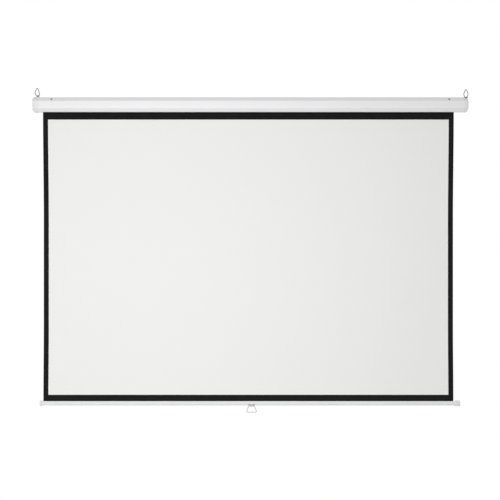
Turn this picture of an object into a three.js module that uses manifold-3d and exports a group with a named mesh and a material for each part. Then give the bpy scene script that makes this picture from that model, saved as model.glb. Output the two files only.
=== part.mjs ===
// Manual pull-down projection screen. An octagonal case with moulded end caps holds a sprung roller
// with a ratchet lock. A black-bordered viewing sheet hangs from it to a weighted bar with a pull loop.
// Millimetres. X runs along the case, the front faces -Y, the wall is at +Y and Z is up.
// The origin is the centre of the case's flat back face.

import * as THREE from 'three';
import { mergeVertices } from 'three/addons/utils/BufferGeometryUtils.js';
import Module from 'manifold-3d';

const wasm = await Module();
wasm.setup();

// Fits
const fitGap = 0.3;
const runGap = 0.5;
const cutOverrun = 20;

// Viewing area and sheet
const viewWide = 2032;
const viewTall = 1395;
const viewDrop = 74;
const sideBorder = 25.4;
const bottomBorder = 32;
const surfaceThick = 0.15;
const backingThick = 0.3;
const sheetWaist = 2.5;
const sheetRows = 12;

// Case
const caseTall = 74;
const caseDeep = 76;
const caseBevel = 18;
const caseWall = 1.2;
const caseBend = 2.5;
const slotFront = 38.5;
const slotRear = 23;
const slotLip = 6;
const bendSteps = 3;

// End caps. The right one is narrower and its crown drops behind the case's top edge
const capProud = 1.2;
const capWall = 3;
const capRound = 9;
const capSpigotLong = 9;
const capSpigotWall = 2;
const capSeatLong = 5;
const capSeatOverlap = 1;
const capTopCutTall = 14;
const leftCap = {
  side: -1,
  wide: 31,
  topCutWide: 6,
  cutWide: 9,
  cutTall: 13,
  crownDrop: 0,
  crownRun: 3,
  lugInset: 25.5,
};
const rightCap = {
  side: 1,
  wide: 22,
  topCutWide: 4,
  cutWide: 10.5,
  cutTall: 18,
  crownDrop: 6.7,
  crownRun: 3,
  lugInset: 9.5,
};

// Hanging rings and their lugs
const ringWire = 4;
const ringFootHalf = 6.5;
const ringWaistHalf = 11.3;
const ringWaistRise = 17;
const ringApexHalf = 3;
const ringRise = 38.7;
const ringBend = 3;
const lugRise = 6;
const lugBarrel = 9;
const lugLong = 8;
const lugFootLong = 15;
const lugFootDeep = 9;

// Brackets and their screws
const bracketThick = 2.4;
const screwInset = 97;
const screwHead = 10.5;
const screwHeadTall = 2.6;
const screwShank = 4.6;
const screwTip = 1.6;
const armTail = 12;
const armEdgeShares = [0.12, 0.88];
const screwRiseShare = 0.38;

// Roller
const rollerDepth = 47.5;
const tubeOuter = 38;
const tubeWall = 1;
const tubeOverhang = 3.6;
const idlerRun = 2.1;
const arborRun = 18;
const rollTurns = 2.25;
const rollStepsPerTurn = 24;
const plugDeep = 20;
const plugRimWall = 2.2;
const plugWeb = 3;
const idlerFlange = 1.5;
const idlerFlangeOuter = 40;
const idlerHub = 14;
const idlerPin = 6;
const idlerPinDeep = 26;
const idlerPinOut = 5;
const bushWall = 1.4;
const bushFlange = 1.2;
const bushFlangeOuter = 14;

// Spring and the fixed arbor that it winds on
const arborRound = 8;
const arborReach = 283;
const arborNeck = 3;
const tangThick = 3;
const tangTall = 7.8;
const tangOut = 2.3;
const springWire = 2;
const springMean = 22;
const springTurns = 24;
const springStepsPerTurn = 8;
const springSides = 5;
const anchorLong = 14;
const anchorHub = 16;
const collarOuter = 22;
const collarLong = 10;

// Ratchet lock
const ratchetRim = 24;
const ratchetRoot = 17;
const ratchetThick = 6;
const ratchetTeeth = 4;
const ratchetRimShare = 0.62;
const ratchetArcSteps = 4;
const ratchetHub = 14;
const ratchetHubLong = 4;
const drivePlugFlange = 3;
const drivePlugOuter = 44;
const driveHub = 17;
const pawlLift = 0.8;
const pawlBand = 3.6;
const pawlPivotRadius = 17;
const pawlPivotAngle = THREE.MathUtils.degToRad(45);
const pawlNoseAngle = THREE.MathUtils.degToRad(97);
const pawlBoss = 7.6;
const pawlArcSteps = 6;
const pawlPin = 3.6;
const pawlPinHead = 6.4;
const pawlPinHeadTall = 2;
const pawlPinSeat = 2.4;

// Bottom bar
const barTall = 22;
const barDeep = 22;
const barTopFlat = 10;
const barBottomFlat = 12;
const barWall = 1.3;
const barBend = 2;
const barSlot = 2.4;
const hemRod = 4;
const barCapGrow = 3;
const barCapFlare = 7;
const barCapEndBevel = 1.6;
const barCapSpigotLong = 18;
const barCapSpigotWall = 1.6;
const barCapWideLeft = 15;
const barCapWideRight = 31.5;

// Pull handle and its clip
const handleOffset = 16.2;
const handleWire = 3.2;
const handleTopHalf = 15;
const handleFootHalf = 26;
const handleDrop = 30.6;
const handleTopBend = 3.2;
const clipWall = 1.2;
const clipRise = 8.5;
const clipTopLong = 38;
const clipBarrelLong = 23;
const clipScrewSpread = 13;
const clipScrewHead = 4.6;
const clipScrewHeadTall = 1;
const clipScrewShank = 2.4;
const clipScrewLong = 4.4;
const clipScrewShare = 0.3;

// Facets
const wireSides = 10;
const smallSides = 20;
const roundSides = 32;

// Places that follow from the sizes above
const sheetThick = surfaceThick + backingThick;
const rollPitch = sheetThick + fitGap;
const tubeRadius = tubeOuter / 2;
const rollStart = tubeRadius + fitGap;
const rollEnd = rollStart + rollPitch * rollTurns;
const rollerY = -rollerDepth;
const sheetFrontY = rollerY + rollEnd;
const sheetBackY = sheetFrontY + sheetThick;
const sheetHalf = viewWide / 2 + sideBorder;
const lockLong = drivePlugFlange + fitGap + bushFlange + runGap + ratchetHubLong + ratchetThick;
const seatLong = bracketThick + fitGap + capSpigotLong;
const sheetRoomLeft = tubeOverhang + idlerFlange + idlerRun + seatLong + leftCap.wide;
const sheetRoomRight = tubeOverhang + lockLong + arborRun + seatLong + rightCap.wide;
const caseLong = sheetRoomLeft + sheetHalf * 2 + sheetRoomRight;
const sheetOffset = (sheetRoomLeft - sheetRoomRight) / 2;
const sheetTopZ = -fitGap;
const barTopZ = -(viewDrop + viewTall + bottomBorder);
const barMidZ = barTopZ - barTall / 2;
const barY = (sheetFrontY + sheetBackY) / 2;
const tubeLeft = sheetOffset - sheetHalf - tubeOverhang;
const tubeRight = sheetOffset + sheetHalf + tubeOverhang;
const caseInset = caseWall + fitGap;
const bracketLeftX = -caseLong / 2 + leftCap.wide + capSpigotLong + fitGap;
const bracketRightX = caseLong / 2 - rightCap.wide - capSpigotLong - fitGap;
const driveFaceX = tubeRight + drivePlugFlange;
const hubStartX = driveFaceX + fitGap + bushFlange + runGap;
const ratchetStartX = hubStartX + ratchetHubLong;
const ratchetEndX = ratchetStartX + ratchetThick;
const arborTipX = ratchetEndX + arborNeck - arborReach - plugDeep;
const anchorStartX = arborTipX - runGap;
const anchorEndX = anchorStartX + anchorLong;
const collarEndX = tubeRight - plugDeep - runGap;
const collarStartX = collarEndX - collarLong;

// Flat geometry helpers. A point is (y, z) in a section across X, (x, z) in a front view and
// (x, y) in a plan. Paths run clockwise, so their inside is on the right hand.

function edgeDirections(corners, index, closed) {
  const count = corners.length;
  const hasBefore = closed || index > 0;
  const hasAfter = closed || index < count - 1;
  const here = corners[index];
  const before = corners[(index + count - 1) % count];
  const after = corners[(index + 1) % count];
  const outgoing = hasAfter ? after.clone().sub(here).normalize() : here.clone().sub(before).normalize();
  const incoming = hasBefore ? here.clone().sub(before).normalize() : outgoing.clone();
  return [incoming, outgoing];
}

function rightNormal(direction) {
  return new THREE.Vector2(direction.y, -direction.x);
}

// Moves every edge inwards by the same distance. Each corner goes where its two moved edges meet
function insetPath(corners, distance, closed = true) {
  return corners.map((corner, index) => {
    const [incoming, outgoing] = edgeDirections(corners, index, closed);
    const first = rightNormal(incoming);
    const second = rightNormal(outgoing);
    const reach = distance / (1 + first.dot(second));
    return corner.clone().addScaledVector(first, reach).addScaledVector(second, reach);
  });
}

// Rounds every corner of a path with an arc that is tangent to both of its edges
function roundedPath(corners, radius, closed = true) {
  const points = [];
  corners.forEach((corner, index) => {
    const [incoming, outgoing] = edgeDirections(corners, index, closed);
    const turn = Math.atan2(incoming.cross(outgoing), incoming.dot(outgoing));
    if (Math.abs(turn) === 0) {
      points.push(corner.clone());
      return;
    }
    const towardCentre = rightNormal(incoming).multiplyScalar(-Math.sign(turn) * radius);
    const start = corner.clone().addScaledVector(incoming, -radius * Math.tan(Math.abs(turn) / 2));
    const centre = start.clone().add(towardCentre);
    for (let step = 0; step <= bendSteps; step += 1) {
      points.push(start.clone().rotateAround(centre, turn * step / bendSteps));
    }
  });
  return points;
}

// A bent strip of sheet: its outer face follows the corners and its wall lies on the inside
function stripOutline(corners, wall, bend) {
  const outer = roundedPath(corners, bend, false);
  const inner = roundedPath(insetPath(corners, wall, false), bend - wall, false);
  return [...outer, ...inner.reverse()];
}

function circlePoints(radius, sides, centre = new THREE.Vector2(0, 0)) {
  return Array.from({ length: sides }, (_, index) => {
    const angle = 2 * Math.PI * index / sides;
    return new THREE.Vector2(centre.x + radius * Math.cos(angle), centre.y + radius * Math.sin(angle));
  });
}

function polar(radius, angle) {
  return new THREE.Vector2(radius * Math.cos(angle), radius * Math.sin(angle));
}

// Solid geometry helpers

// Merges shared vertices, drops empty triangles and turns the faces outwards
function closedGeometry(geometry) {
  const bare = new THREE.BufferGeometry();
  bare.setAttribute('position', geometry.getAttribute('position').clone());
  if (geometry.index) bare.setIndex(geometry.index.clone());
  const merged = mergeVertices(bare);
  const source = merged.index.array;
  const places = merged.getAttribute('position');
  const corner = [new THREE.Vector3(), new THREE.Vector3(), new THREE.Vector3()];
  const kept = [];
  let volume = 0;
  for (let first = 0; first < source.length; first += 3) {
    const [a, b, c] = [source[first], source[first + 1], source[first + 2]];
    if (a === b || b === c || c === a) continue;
    kept.push(a, b, c);
    [a, b, c].forEach((vertex, index) => corner[index].fromBufferAttribute(places, vertex));
    volume += corner[0].dot(corner[1].cross(corner[2]));
  }
  if (volume < 0) kept.reverse();
  merged.setIndex(kept);
  merged.computeVertexNormals();
  return merged;
}

function solidOf(geometry) {
  const closed = closedGeometry(geometry);
  const mesh = new wasm.Mesh({
    numProp: 3,
    vertProperties: Float32Array.from(closed.getAttribute('position').array),
    triVerts: Uint32Array.from(closed.index.array),
  });
  return new wasm.Manifold(mesh);
}

function geometryOf(solid) {
  const mesh = solid.getMesh();
  const geometry = new THREE.BufferGeometry();
  geometry.setAttribute('position', new THREE.BufferAttribute(mesh.vertProperties, 3));
  geometry.setIndex(new THREE.BufferAttribute(mesh.triVerts, 1));
  geometry.computeVertexNormals();
  return geometry;
}

function join(base, ...others) {
  return geometryOf(others.reduce((whole, other) => whole.add(solidOf(other)), solidOf(base)));
}

function cut(base, ...tools) {
  return geometryOf(tools.reduce((rest, tool) => rest.subtract(solidOf(tool)), solidOf(base)));
}

function common(base, ...others) {
  return geometryOf(others.reduce((shared, other) => shared.intersect(solidOf(other)), solidOf(base)));
}

function extruded(outline, depth, holes) {
  const shape = new THREE.Shape(THREE.ShapeUtils.isClockWise(outline) ? [...outline].reverse() : outline);
  shape.holes = holes.map((hole) => new THREE.Path(hole));
  return new THREE.ExtrudeGeometry(shape, { depth, bevelEnabled: false });
}

// A section in (y, z) carried along X
function prismX(outline, fromX, toX, holes = []) {
  const geometry = extruded(outline, toX - fromX, holes);
  const turn = new THREE.Matrix4().makeBasis(
    new THREE.Vector3(0, 1, 0),
    new THREE.Vector3(0, 0, 1),
    new THREE.Vector3(1, 0, 0),
  );
  return closedGeometry(geometry.applyMatrix4(turn).translate(fromX, 0, 0));
}

// A front view in (x, z) carried along Y
function prismY(outline, fromY, toY) {
  const geometry = extruded(outline, toY - fromY, []);
  return closedGeometry(geometry.rotateX(Math.PI / 2).translate(0, toY, 0));
}

// A plan in (x, y) carried along Z
function prismZ(outline, fromZ, toZ) {
  return closedGeometry(extruded(outline, toZ - fromZ, []).translate(0, 0, fromZ));
}

function boxBetween(low, high) {
  const size = high.clone().sub(low);
  const middle = low.clone().add(high).multiplyScalar(0.5);
  return new THREE.BoxGeometry(size.x, size.y, size.z).translate(middle.x, middle.y, middle.z);
}

// A profile of [x, radius] points turned about the X axis. It closes on itself unless it meets the axis
function turnedX(profile, sides) {
  const points = profile.map(([along, radius]) => new THREE.Vector2(radius, along));
  const meetsAxis = profile[0][1] === 0;
  if (!meetsAxis) points.push(points[0].clone());
  return closedGeometry(new THREE.LatheGeometry(points, sides).rotateZ(-Math.PI / 2));
}

function rodX(radius, fromX, toX, sides) {
  return turnedX([[fromX, 0], [fromX, radius], [toX, radius], [toX, 0]], sides);
}

// Turns a piece made along +X to a new direction and moves it to its place
function placed(geometry, place, direction) {
  const turn = new THREE.Quaternion().setFromUnitVectors(new THREE.Vector3(1, 0, 0), direction);
  return geometry.clone().applyQuaternion(turn).translate(place.x, place.y, place.z);
}

// Sections with equal point counts, each at its own X, skinned into one convex-ended body
function loftX(sections) {
  const count = sections[0].outline.length;
  const positions = sections.flatMap(({ x, outline }) => outline.flatMap((point) => [x, point.x, point.y]));
  const index = [];
  for (let row = 0; row < sections.length - 1; row += 1) {
    for (let column = 0; column < count; column += 1) {
      const here = row * count + column;
      const beside = row * count + (column + 1) % count;
      index.push(here, beside, here + count, beside, beside + count, here + count);
    }
  }
  const last = (sections.length - 1) * count;
  for (let column = 1; column < count - 1; column += 1) {
    index.push(0, column + 1, column, last, last + column, last + column + 1);
  }
  const geometry = new THREE.BufferGeometry();
  geometry.setAttribute('position', new THREE.Float32BufferAttribute(positions, 3));
  geometry.setIndex(index);
  return closedGeometry(geometry);
}

// A closed loop of round wire whose centre line is a path of (x, z) points
function wireLoop(path, radius, sides) {
  const positions = [];
  const index = [];
  path.forEach((point, row) => {
    const [incoming, outgoing] = edgeDirections(path, row, true);
    const mitre = rightNormal(incoming).add(rightNormal(outgoing));
    mitre.multiplyScalar(2 / mitre.lengthSq());
    for (let side = 0; side < sides; side += 1) {
      const spoke = polar(radius, 2 * Math.PI * side / sides);
      positions.push(point.x + mitre.x * spoke.x, spoke.y, point.y + mitre.y * spoke.x);
      const nextRow = (row + 1) % path.length;
      const nextSide = (side + 1) % sides;
      const corners = [
        row * sides + side,
        row * sides + nextSide,
        nextRow * sides + side,
        nextRow * sides + nextSide,
      ];
      index.push(corners[0], corners[1], corners[2], corners[1], corners[3], corners[2]);
    }
  });
  const geometry = new THREE.BufferGeometry();
  geometry.setAttribute('position', new THREE.Float32BufferAttribute(positions, 3));
  geometry.setIndex(index);
  return closedGeometry(geometry);
}

// A pan-head screw along +X: the head's underside is at zero and the shank runs towards -X
function panScrew(head, headTall, shank, long) {
  const crownShare = 0.55;
  const crown = headTall * crownShare;
  return turnedX([
    [-long, 0],
    [-long, shank / 2],
    [0, shank / 2],
    [0, head / 2],
    [crown, head / 2],
    [headTall, head / 2 - crown],
    [headTall, 0],
  ], smallSides);
}

// Case: an octagonal strip, open below in a slot with two upturned lips

function octagonCorners() {
  const low = -caseTall / 2;
  const high = caseTall / 2;
  return [
    new THREE.Vector2(-caseDeep + caseBevel, low),
    new THREE.Vector2(-caseDeep, low + caseBevel),
    new THREE.Vector2(-caseDeep, high - caseBevel),
    new THREE.Vector2(-caseDeep + caseBevel, high),
    new THREE.Vector2(-caseBevel, high),
    new THREE.Vector2(0, high - caseBevel),
    new THREE.Vector2(0, low + caseBevel),
    new THREE.Vector2(-caseBevel, low),
  ];
}

function octagonPath(inset) {
  const bend = Math.max(caseBend - inset, fitGap);
  return roundedPath(insetPath(octagonCorners(), inset), bend);
}

// Where a screw stands on the upper front bevel, and the way its head faces
function bevelScrewPlace(screwX, lift) {
  const corners = octagonCorners();
  const onBevel = corners[2].clone().lerp(corners[3], screwRiseShare);
  const outwards = rightNormal(corners[3].clone().sub(corners[2]).normalize()).negate();
  const spot = onBevel.addScaledVector(outwards, lift);
  return {
    place: new THREE.Vector3(screwX, spot.x, spot.y),
    direction: new THREE.Vector3(0, outwards.x, outwards.y),
  };
}

function screwHole(screwX) {
  const reach = caseWall + bracketThick + cutOverrun;
  const { place, direction } = bevelScrewPlace(screwX, reach / 2);
  return placed(rodX(screwShank / 2 + fitGap, -reach, 0, smallSides), place, direction);
}

const screwLeftX = -caseLong / 2 + screwInset;
const screwRightX = caseLong / 2 - screwInset;

function makeCase() {
  const lipTop = -caseTall / 2 + slotLip;
  const slotZ = -caseTall / 2;
  const corners = [
    new THREE.Vector2(-slotFront, lipTop),
    new THREE.Vector2(-slotFront, slotZ),
    ...octagonCorners(),
    new THREE.Vector2(-slotRear, slotZ),
    new THREE.Vector2(-slotRear, lipTop),
  ];
  const fromX = -caseLong / 2 + leftCap.wide;
  const toX = caseLong / 2 - rightCap.wide;
  const shell = prismX(stripOutline(corners, caseWall, caseBend), fromX, toX);
  return cut(shell, screwHole(screwLeftX), screwHole(screwRightX));
}

// The room that the case's lips and slot need in anything that fits inside the case
function lipRoom(fromX, toX) {
  const front = -slotFront - caseBend - fitGap;
  const rear = -slotRear + caseBend + fitGap;
  return boxBetween(
    new THREE.Vector3(fromX, front, -caseTall / 2 - cutOverrun),
    new THREE.Vector3(toX, rear, -caseTall / 2 + slotLip + fitGap),
  );
}

function makeBevelScrew(screwX) {
  const long = fitGap + caseWall + fitGap + bracketThick + screwTip;
  const { place, direction } = bevelScrewPlace(screwX, fitGap);
  return placed(panScrew(screwHead, screwHeadTall, screwShank, long), place, direction);
}

// End caps: what a front view, a plan and the case's section have in common, hollowed by the same
// three outlines moved inwards

function capBlock(cap, inset, seamRun) {
  const top = caseTall / 2 + capProud;
  const seamX = cap.side * (caseLong / 2 - cap.wide);
  const crown = top - cap.crownDrop;
  const frontView = [
    [-cutOverrun, -top],
    [-cutOverrun, top],
    [0, top],
    [cap.crownRun, crown],
    [cap.wide - cap.topCutWide, crown],
    [cap.wide, crown - capTopCutTall],
    [cap.wide, -top + cap.cutTall],
    [cap.wide - cap.cutWide, -top],
  ].map(([along, height]) => new THREE.Vector2(along, height));
  const plan = [
    [-cutOverrun, -caseDeep - capProud],
    [-cutOverrun, 0],
    [cap.wide, 0],
    [cap.wide, -caseDeep - capProud],
  ].map(([along, depth]) => new THREE.Vector2(along, depth));
  const toWorld = (outline) => outline.map((point) => new THREE.Vector2(seamX + cap.side * point.x, point.y));
  const startX = seamX - cap.side * seamRun;
  const endX = seamX + cap.side * cap.wide;
  const section = prismX(octagonPath(inset - capProud), Math.min(startX, endX), Math.max(startX, endX));
  const front = prismY(toWorld(insetPath(frontView, inset)), -caseDeep - cutOverrun, cutOverrun);
  const above = prismZ(toWorld(roundedPath(insetPath(plan, inset), capRound - inset)), -caseTall, caseTall);
  return common(section, front, above);
}

function capSpigot(cap, fromRun, toRun) {
  const seamX = cap.side * (caseLong / 2 - cap.wide);
  const ends = [seamX + cap.side * fromRun, seamX + cap.side * toRun].sort((a, b) => a - b);
  return prismX(octagonPath(caseInset), ...ends, [octagonPath(caseInset + capSpigotWall)]);
}

function makeEndCap(cap) {
  const outer = capBlock(cap, 0, 0);
  const hollow = capBlock(cap, capWall, cutOverrun / 2);
  const shell = cut(outer, hollow);
  const seat = common(capSpigot(cap, 0, capSeatLong), outer);
  const spigot = capSpigot(cap, -capSpigotLong, capSeatOverlap);
  const seamX = cap.side * (caseLong / 2 - cap.wide);
  const inboardX = seamX - cap.side * cutOverrun;
  const room = lipRoom(Math.min(seamX, inboardX), Math.max(seamX, inboardX));
  return cut(join(shell, seat, spigot), room);
}

// Lugs and hanging rings

function lugCentre(cap) {
  const crown = caseTall / 2 + capProud - cap.crownDrop;
  return new THREE.Vector3(cap.side * (caseLong / 2 - cap.lugInset), -caseDeep / 2, crown + lugRise);
}

function makeLug() {
  const foot = prismY([
    new THREE.Vector2(-lugFootLong / 2, -lugRise),
    new THREE.Vector2(-lugLong / 2, 0),
    new THREE.Vector2(lugLong / 2, 0),
    new THREE.Vector2(lugFootLong / 2, -lugRise),
  ], -lugFootDeep / 2, lugFootDeep / 2);
  const barrel = rodX(lugBarrel / 2, -lugLong / 2, lugLong / 2, smallSides);
  const bore = rodX(ringWire / 2 + fitGap, -lugFootLong, lugFootLong, smallSides);
  return cut(join(foot, barrel), bore);
}

function makeRing() {
  const corners = [
    new THREE.Vector2(-ringFootHalf, 0),
    new THREE.Vector2(-ringWaistHalf, ringWaistRise),
    new THREE.Vector2(-ringApexHalf, ringRise),
    new THREE.Vector2(ringApexHalf, ringRise),
    new THREE.Vector2(ringWaistHalf, ringWaistRise),
    new THREE.Vector2(ringFootHalf, 0),
  ];
  return wireLoop(roundedPath(corners, ringBend), ringWire / 2, wireSides);
}

// Brackets: an octagonal plate across the case with an arm along the upper front bevel

function bracketBlank(plateFromX, plateToX, armEndX) {
  const plate = prismX(octagonPath(caseInset), plateFromX, plateToX);
  const outer = insetPath(octagonCorners(), caseInset);
  const inner = insetPath(octagonCorners(), caseInset + bracketThick);
  const [low, high] = armEdgeShares;
  const armSection = [
    outer[2].clone().lerp(outer[3], low),
    outer[2].clone().lerp(outer[3], high),
    inner[2].clone().lerp(inner[3], high),
    inner[2].clone().lerp(inner[3], low),
  ];
  const arm = prismX(armSection, Math.min(plateFromX, armEndX), Math.max(plateToX, armEndX));
  return cut(join(plate, arm), lipRoom(plateFromX - cutOverrun, plateToX + cutOverrun));
}

const bushOuter = idlerPin / 2 + fitGap + bushWall;

function makeIdlerBracket() {
  const plateToX = bracketLeftX + bracketThick;
  const blank = bracketBlank(bracketLeftX, plateToX, screwLeftX + armTail);
  const bore = rodX(bushOuter + fitGap, bracketLeftX - cutOverrun, plateToX + cutOverrun, smallSides);
  return cut(blank, bore.translate(0, rollerY, 0), screwHole(screwLeftX));
}

function makeRatchetBracket() {
  const plateFromX = bracketRightX - bracketThick;
  const blank = bracketBlank(plateFromX, bracketRightX, screwRightX - armTail);
  const halfThick = tangThick / 2 + fitGap;
  const halfTall = tangTall / 2 + fitGap;
  const slot = boxBetween(
    new THREE.Vector3(plateFromX - cutOverrun, rollerY - halfThick, -halfTall),
    new THREE.Vector3(bracketRightX + cutOverrun, rollerY + halfThick, halfTall),
  );
  return cut(blank, slot, screwHole(screwRightX));
}

// Roller: tube, idler end and drive end, all turned about the roller's own axis

function makeRollerTube() {
  return prismX(circlePoints(tubeRadius, roundSides), tubeLeft, tubeRight, [
    circlePoints(tubeRadius - tubeWall, roundSides),
  ]);
}

const plugRadius = tubeRadius - tubeWall - fitGap;

function makeIdlerPlug() {
  const faceX = tubeLeft - idlerFlange;
  const webX = faceX + plugWeb;
  const deepX = tubeLeft + plugDeep;
  const bore = idlerPin / 2 + fitGap;
  return turnedX([
    [faceX, bore],
    [deepX, bore],
    [deepX, idlerHub / 2],
    [webX, idlerHub / 2],
    [webX, plugRadius - plugRimWall],
    [deepX, plugRadius - plugRimWall],
    [deepX, plugRadius],
    [tubeLeft, plugRadius],
    [tubeLeft, idlerFlangeOuter / 2],
    [faceX, idlerFlangeOuter / 2],
  ], roundSides);
}

function makeIdlerPin() {
  return rodX(idlerPin / 2, bracketLeftX - idlerPinOut, tubeLeft - idlerFlange + idlerPinDeep, smallSides);
}

function makeIdlerBush() {
  const flangeX = bracketLeftX + bracketThick + fitGap;
  const bore = idlerPin / 2 + fitGap;
  return turnedX([
    [bracketLeftX, bore],
    [flangeX + bushFlange, bore],
    [flangeX + bushFlange, bushFlangeOuter / 2],
    [flangeX, bushFlangeOuter / 2],
    [flangeX, bushOuter],
    [bracketLeftX, bushOuter],
  ], smallSides);
}

const arborBore = arborRound / 2 + fitGap;
const arborBushOuter = arborBore + bushWall;

function makeDrivePlug() {
  const webX = tubeRight - plugWeb;
  const deepX = tubeRight - plugDeep;
  const bore = arborBushOuter + fitGap;
  const body = turnedX([
    [deepX, bore],
    [driveFaceX, bore],
    [driveFaceX, drivePlugOuter / 2],
    [tubeRight, drivePlugOuter / 2],
    [tubeRight, plugRadius],
    [deepX, plugRadius],
    [deepX, plugRadius - plugRimWall],
    [webX, plugRadius - plugRimWall],
    [webX, driveHub / 2],
    [deepX, driveHub / 2],
  ], roundSides);
  const seat = rodX(pawlPin / 2 + fitGap, driveFaceX - pawlPinSeat, driveFaceX + cutOverrun, smallSides);
  const spots = [pawlPivotAngle, pawlPivotAngle + Math.PI].map((angle) => polar(pawlPivotRadius, angle));
  return cut(body, ...spots.map((spot) => seat.clone().translate(0, spot.x, spot.y)));
}

function makeArborBush() {
  const flangeX = driveFaceX + fitGap;
  const deepX = tubeRight - plugDeep;
  return turnedX([
    [deepX, arborBore],
    [flangeX + bushFlange, arborBore],
    [flangeX + bushFlange, arborBushOuter + bushWall],
    [flangeX, arborBushOuter + bushWall],
    [flangeX, arborBushOuter],
    [deepX, arborBushOuter],
  ], smallSides);
}

function makeArbor() {
  const roundEndX = ratchetEndX + arborNeck;
  const rod = rodX(arborRound / 2, arborTipX, roundEndX, smallSides);
  const tang = boxBetween(
    new THREE.Vector3(roundEndX - arborNeck, -tangThick / 2, -tangTall / 2),
    new THREE.Vector3(bracketRightX + tangOut, tangThick / 2, tangTall / 2),
  );
  return join(rod, tang);
}

function makeSpringAnchor() {
  const webX = anchorEndX - plugWeb;
  return turnedX([
    [anchorStartX, arborBore],
    [anchorEndX, arborBore],
    [anchorEndX, plugRadius],
    [anchorStartX, plugRadius],
    [anchorStartX, plugRadius - plugRimWall],
    [webX, plugRadius - plugRimWall],
    [webX, anchorHub / 2],
    [anchorStartX, anchorHub / 2],
  ], roundSides);
}

function makeArborCollar() {
  return turnedX([
    [collarStartX, arborBore],
    [collarEndX, arborBore],
    [collarEndX, collarOuter / 2],
    [collarStartX, collarOuter / 2],
  ], smallSides);
}

class HelixCurve extends THREE.Curve {
  constructor(radius, fromX, toX, turns) {
    super();
    Object.assign(this, { radius, fromX, toX, turns });
  }

  getPoint(share, target = new THREE.Vector3()) {
    const spoke = polar(this.radius, 2 * Math.PI * this.turns * share);
    return target.set(this.fromX + (this.toX - this.fromX) * share, spoke.x, spoke.y);
  }
}

// The spring's free distance between neighbouring coils, measured on points of its centre line
function leastCoilGap(curve, turns, wire) {
  const perTurn = 36;
  const points = curve.getPoints(turns * perTurn);
  let least = Infinity;
  points.forEach((point, index) => {
    for (let other = index + perTurn / 2; other < points.length; other += 1) {
      least = Math.min(least, point.distanceTo(points[other]) - wire);
    }
  });
  return least;
}

function makeSpring() {
  const fromX = anchorEndX + fitGap + springWire / 2;
  const toX = collarStartX - fitGap - springWire / 2;
  const curve = new HelixCurve(springMean / 2, fromX, toX, springTurns);
  const least = leastCoilGap(curve, springTurns, springWire);
  console.log(`Least gap between spring coils: ${least.toFixed(2)} mm`);
  const section = new THREE.Shape(circlePoints(springWire / 2, springSides));
  return closedGeometry(new THREE.ExtrudeGeometry(section, {
    steps: springTurns * springStepsPerTurn,
    bevelEnabled: false,
    extrudePath: curve,
  }));
}

// Fabric wound on the tube: a spiral whose outer end points up from the rear, where the sheet leaves it
function makeFabricRoll() {
  const steps = Math.round(rollTurns * rollStepsPerTurn);
  const spiral = (layer) => Array.from({ length: steps + 1 }, (_, step) => {
    const turns = rollTurns * step / steps;
    return polar(rollEnd - rollPitch * turns + layer, 2 * Math.PI * turns);
  });
  const outline = [...spiral(sheetThick), ...spiral(0).reverse()];
  return prismX(outline, sheetOffset - sheetHalf, sheetOffset + sheetHalf);
}

// Ratchet lock: a fixed notched wheel on the arbor and two pawls that turn with the roller

function makeRatchetWheel() {
  const outline = [];
  for (let tooth = 0; tooth < ratchetTeeth; tooth += 1) {
    const start = 2 * Math.PI * tooth / ratchetTeeth;
    const span = 2 * Math.PI / ratchetTeeth;
    outline.push(polar(ratchetRoot / 2, start));
    for (let step = 0; step <= ratchetArcSteps; step += 1) {
      outline.push(polar(ratchetRim / 2, start + span * ratchetRimShare * step / ratchetArcSteps));
    }
  }
  const wheel = prismX(outline, ratchetStartX, ratchetEndX);
  const hub = rodX(ratchetHub / 2, hubStartX, ratchetEndX, smallSides);
  return cut(join(wheel, hub), rodX(arborBore, hubStartX - cutOverrun, ratchetEndX + cutOverrun, smallSides));
}

function makePawl() {
  const inner = ratchetRim / 2 + pawlLift;
  const band = [inner, inner + pawlBand].map((radius) => {
    const arc = [];
    for (let step = 0; step <= pawlArcSteps; step += 1) {
      arc.push(polar(radius, pawlPivotAngle + (pawlNoseAngle - pawlPivotAngle) * step / pawlArcSteps));
    }
    return arc;
  });
  const leverFromX = ratchetStartX + runGap;
  const leverToX = ratchetEndX - runGap;
  const lever = prismX([...band[0], ...band[1].reverse()], leverFromX, leverToX);
  const pivot = polar(pawlPivotRadius, pawlPivotAngle);
  const boss = rodX(pawlBoss / 2, driveFaceX + runGap, leverToX, smallSides).translate(0, pivot.x, pivot.y);
  const bore = rodX(pawlPin / 2 + fitGap, driveFaceX - cutOverrun, leverToX + cutOverrun, smallSides);
  return cut(join(lever, boss), bore.translate(0, pivot.x, pivot.y));
}

function makePawlPin() {
  const headX = ratchetEndX - runGap + fitGap;
  const pivot = polar(pawlPivotRadius, pawlPivotAngle);
  return turnedX([
    [driveFaceX - pawlPinSeat + fitGap, 0],
    [driveFaceX - pawlPinSeat + fitGap, pawlPin / 2],
    [headX, pawlPin / 2],
    [headX, pawlPinHead / 2],
    [headX + pawlPinHeadTall, pawlPinHead / 2],
    [headX + pawlPinHeadTall, 0],
  ], smallSides).translate(0, pivot.x, pivot.y);
}

// Sheet: its side edges draw in slightly between the case and the bar

function sheetOutline(halfWide, topZ, bottomZ) {
  const edge = Array.from({ length: sheetRows + 1 }, (_, row) => {
    const z = topZ + (bottomZ - topZ) * row / sheetRows;
    const share = z / barTopZ;
    return new THREE.Vector2(halfWide - sheetWaist * Math.sin(Math.PI * share), z);
  });
  const mirrored = edge.map((point) => new THREE.Vector2(-point.x, point.y)).reverse();
  return [...edge, ...mirrored];
}

function makeBacking() {
  return prismY(sheetOutline(sheetHalf, sheetTopZ, barTopZ), sheetFrontY + surfaceThick, sheetBackY);
}

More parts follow.
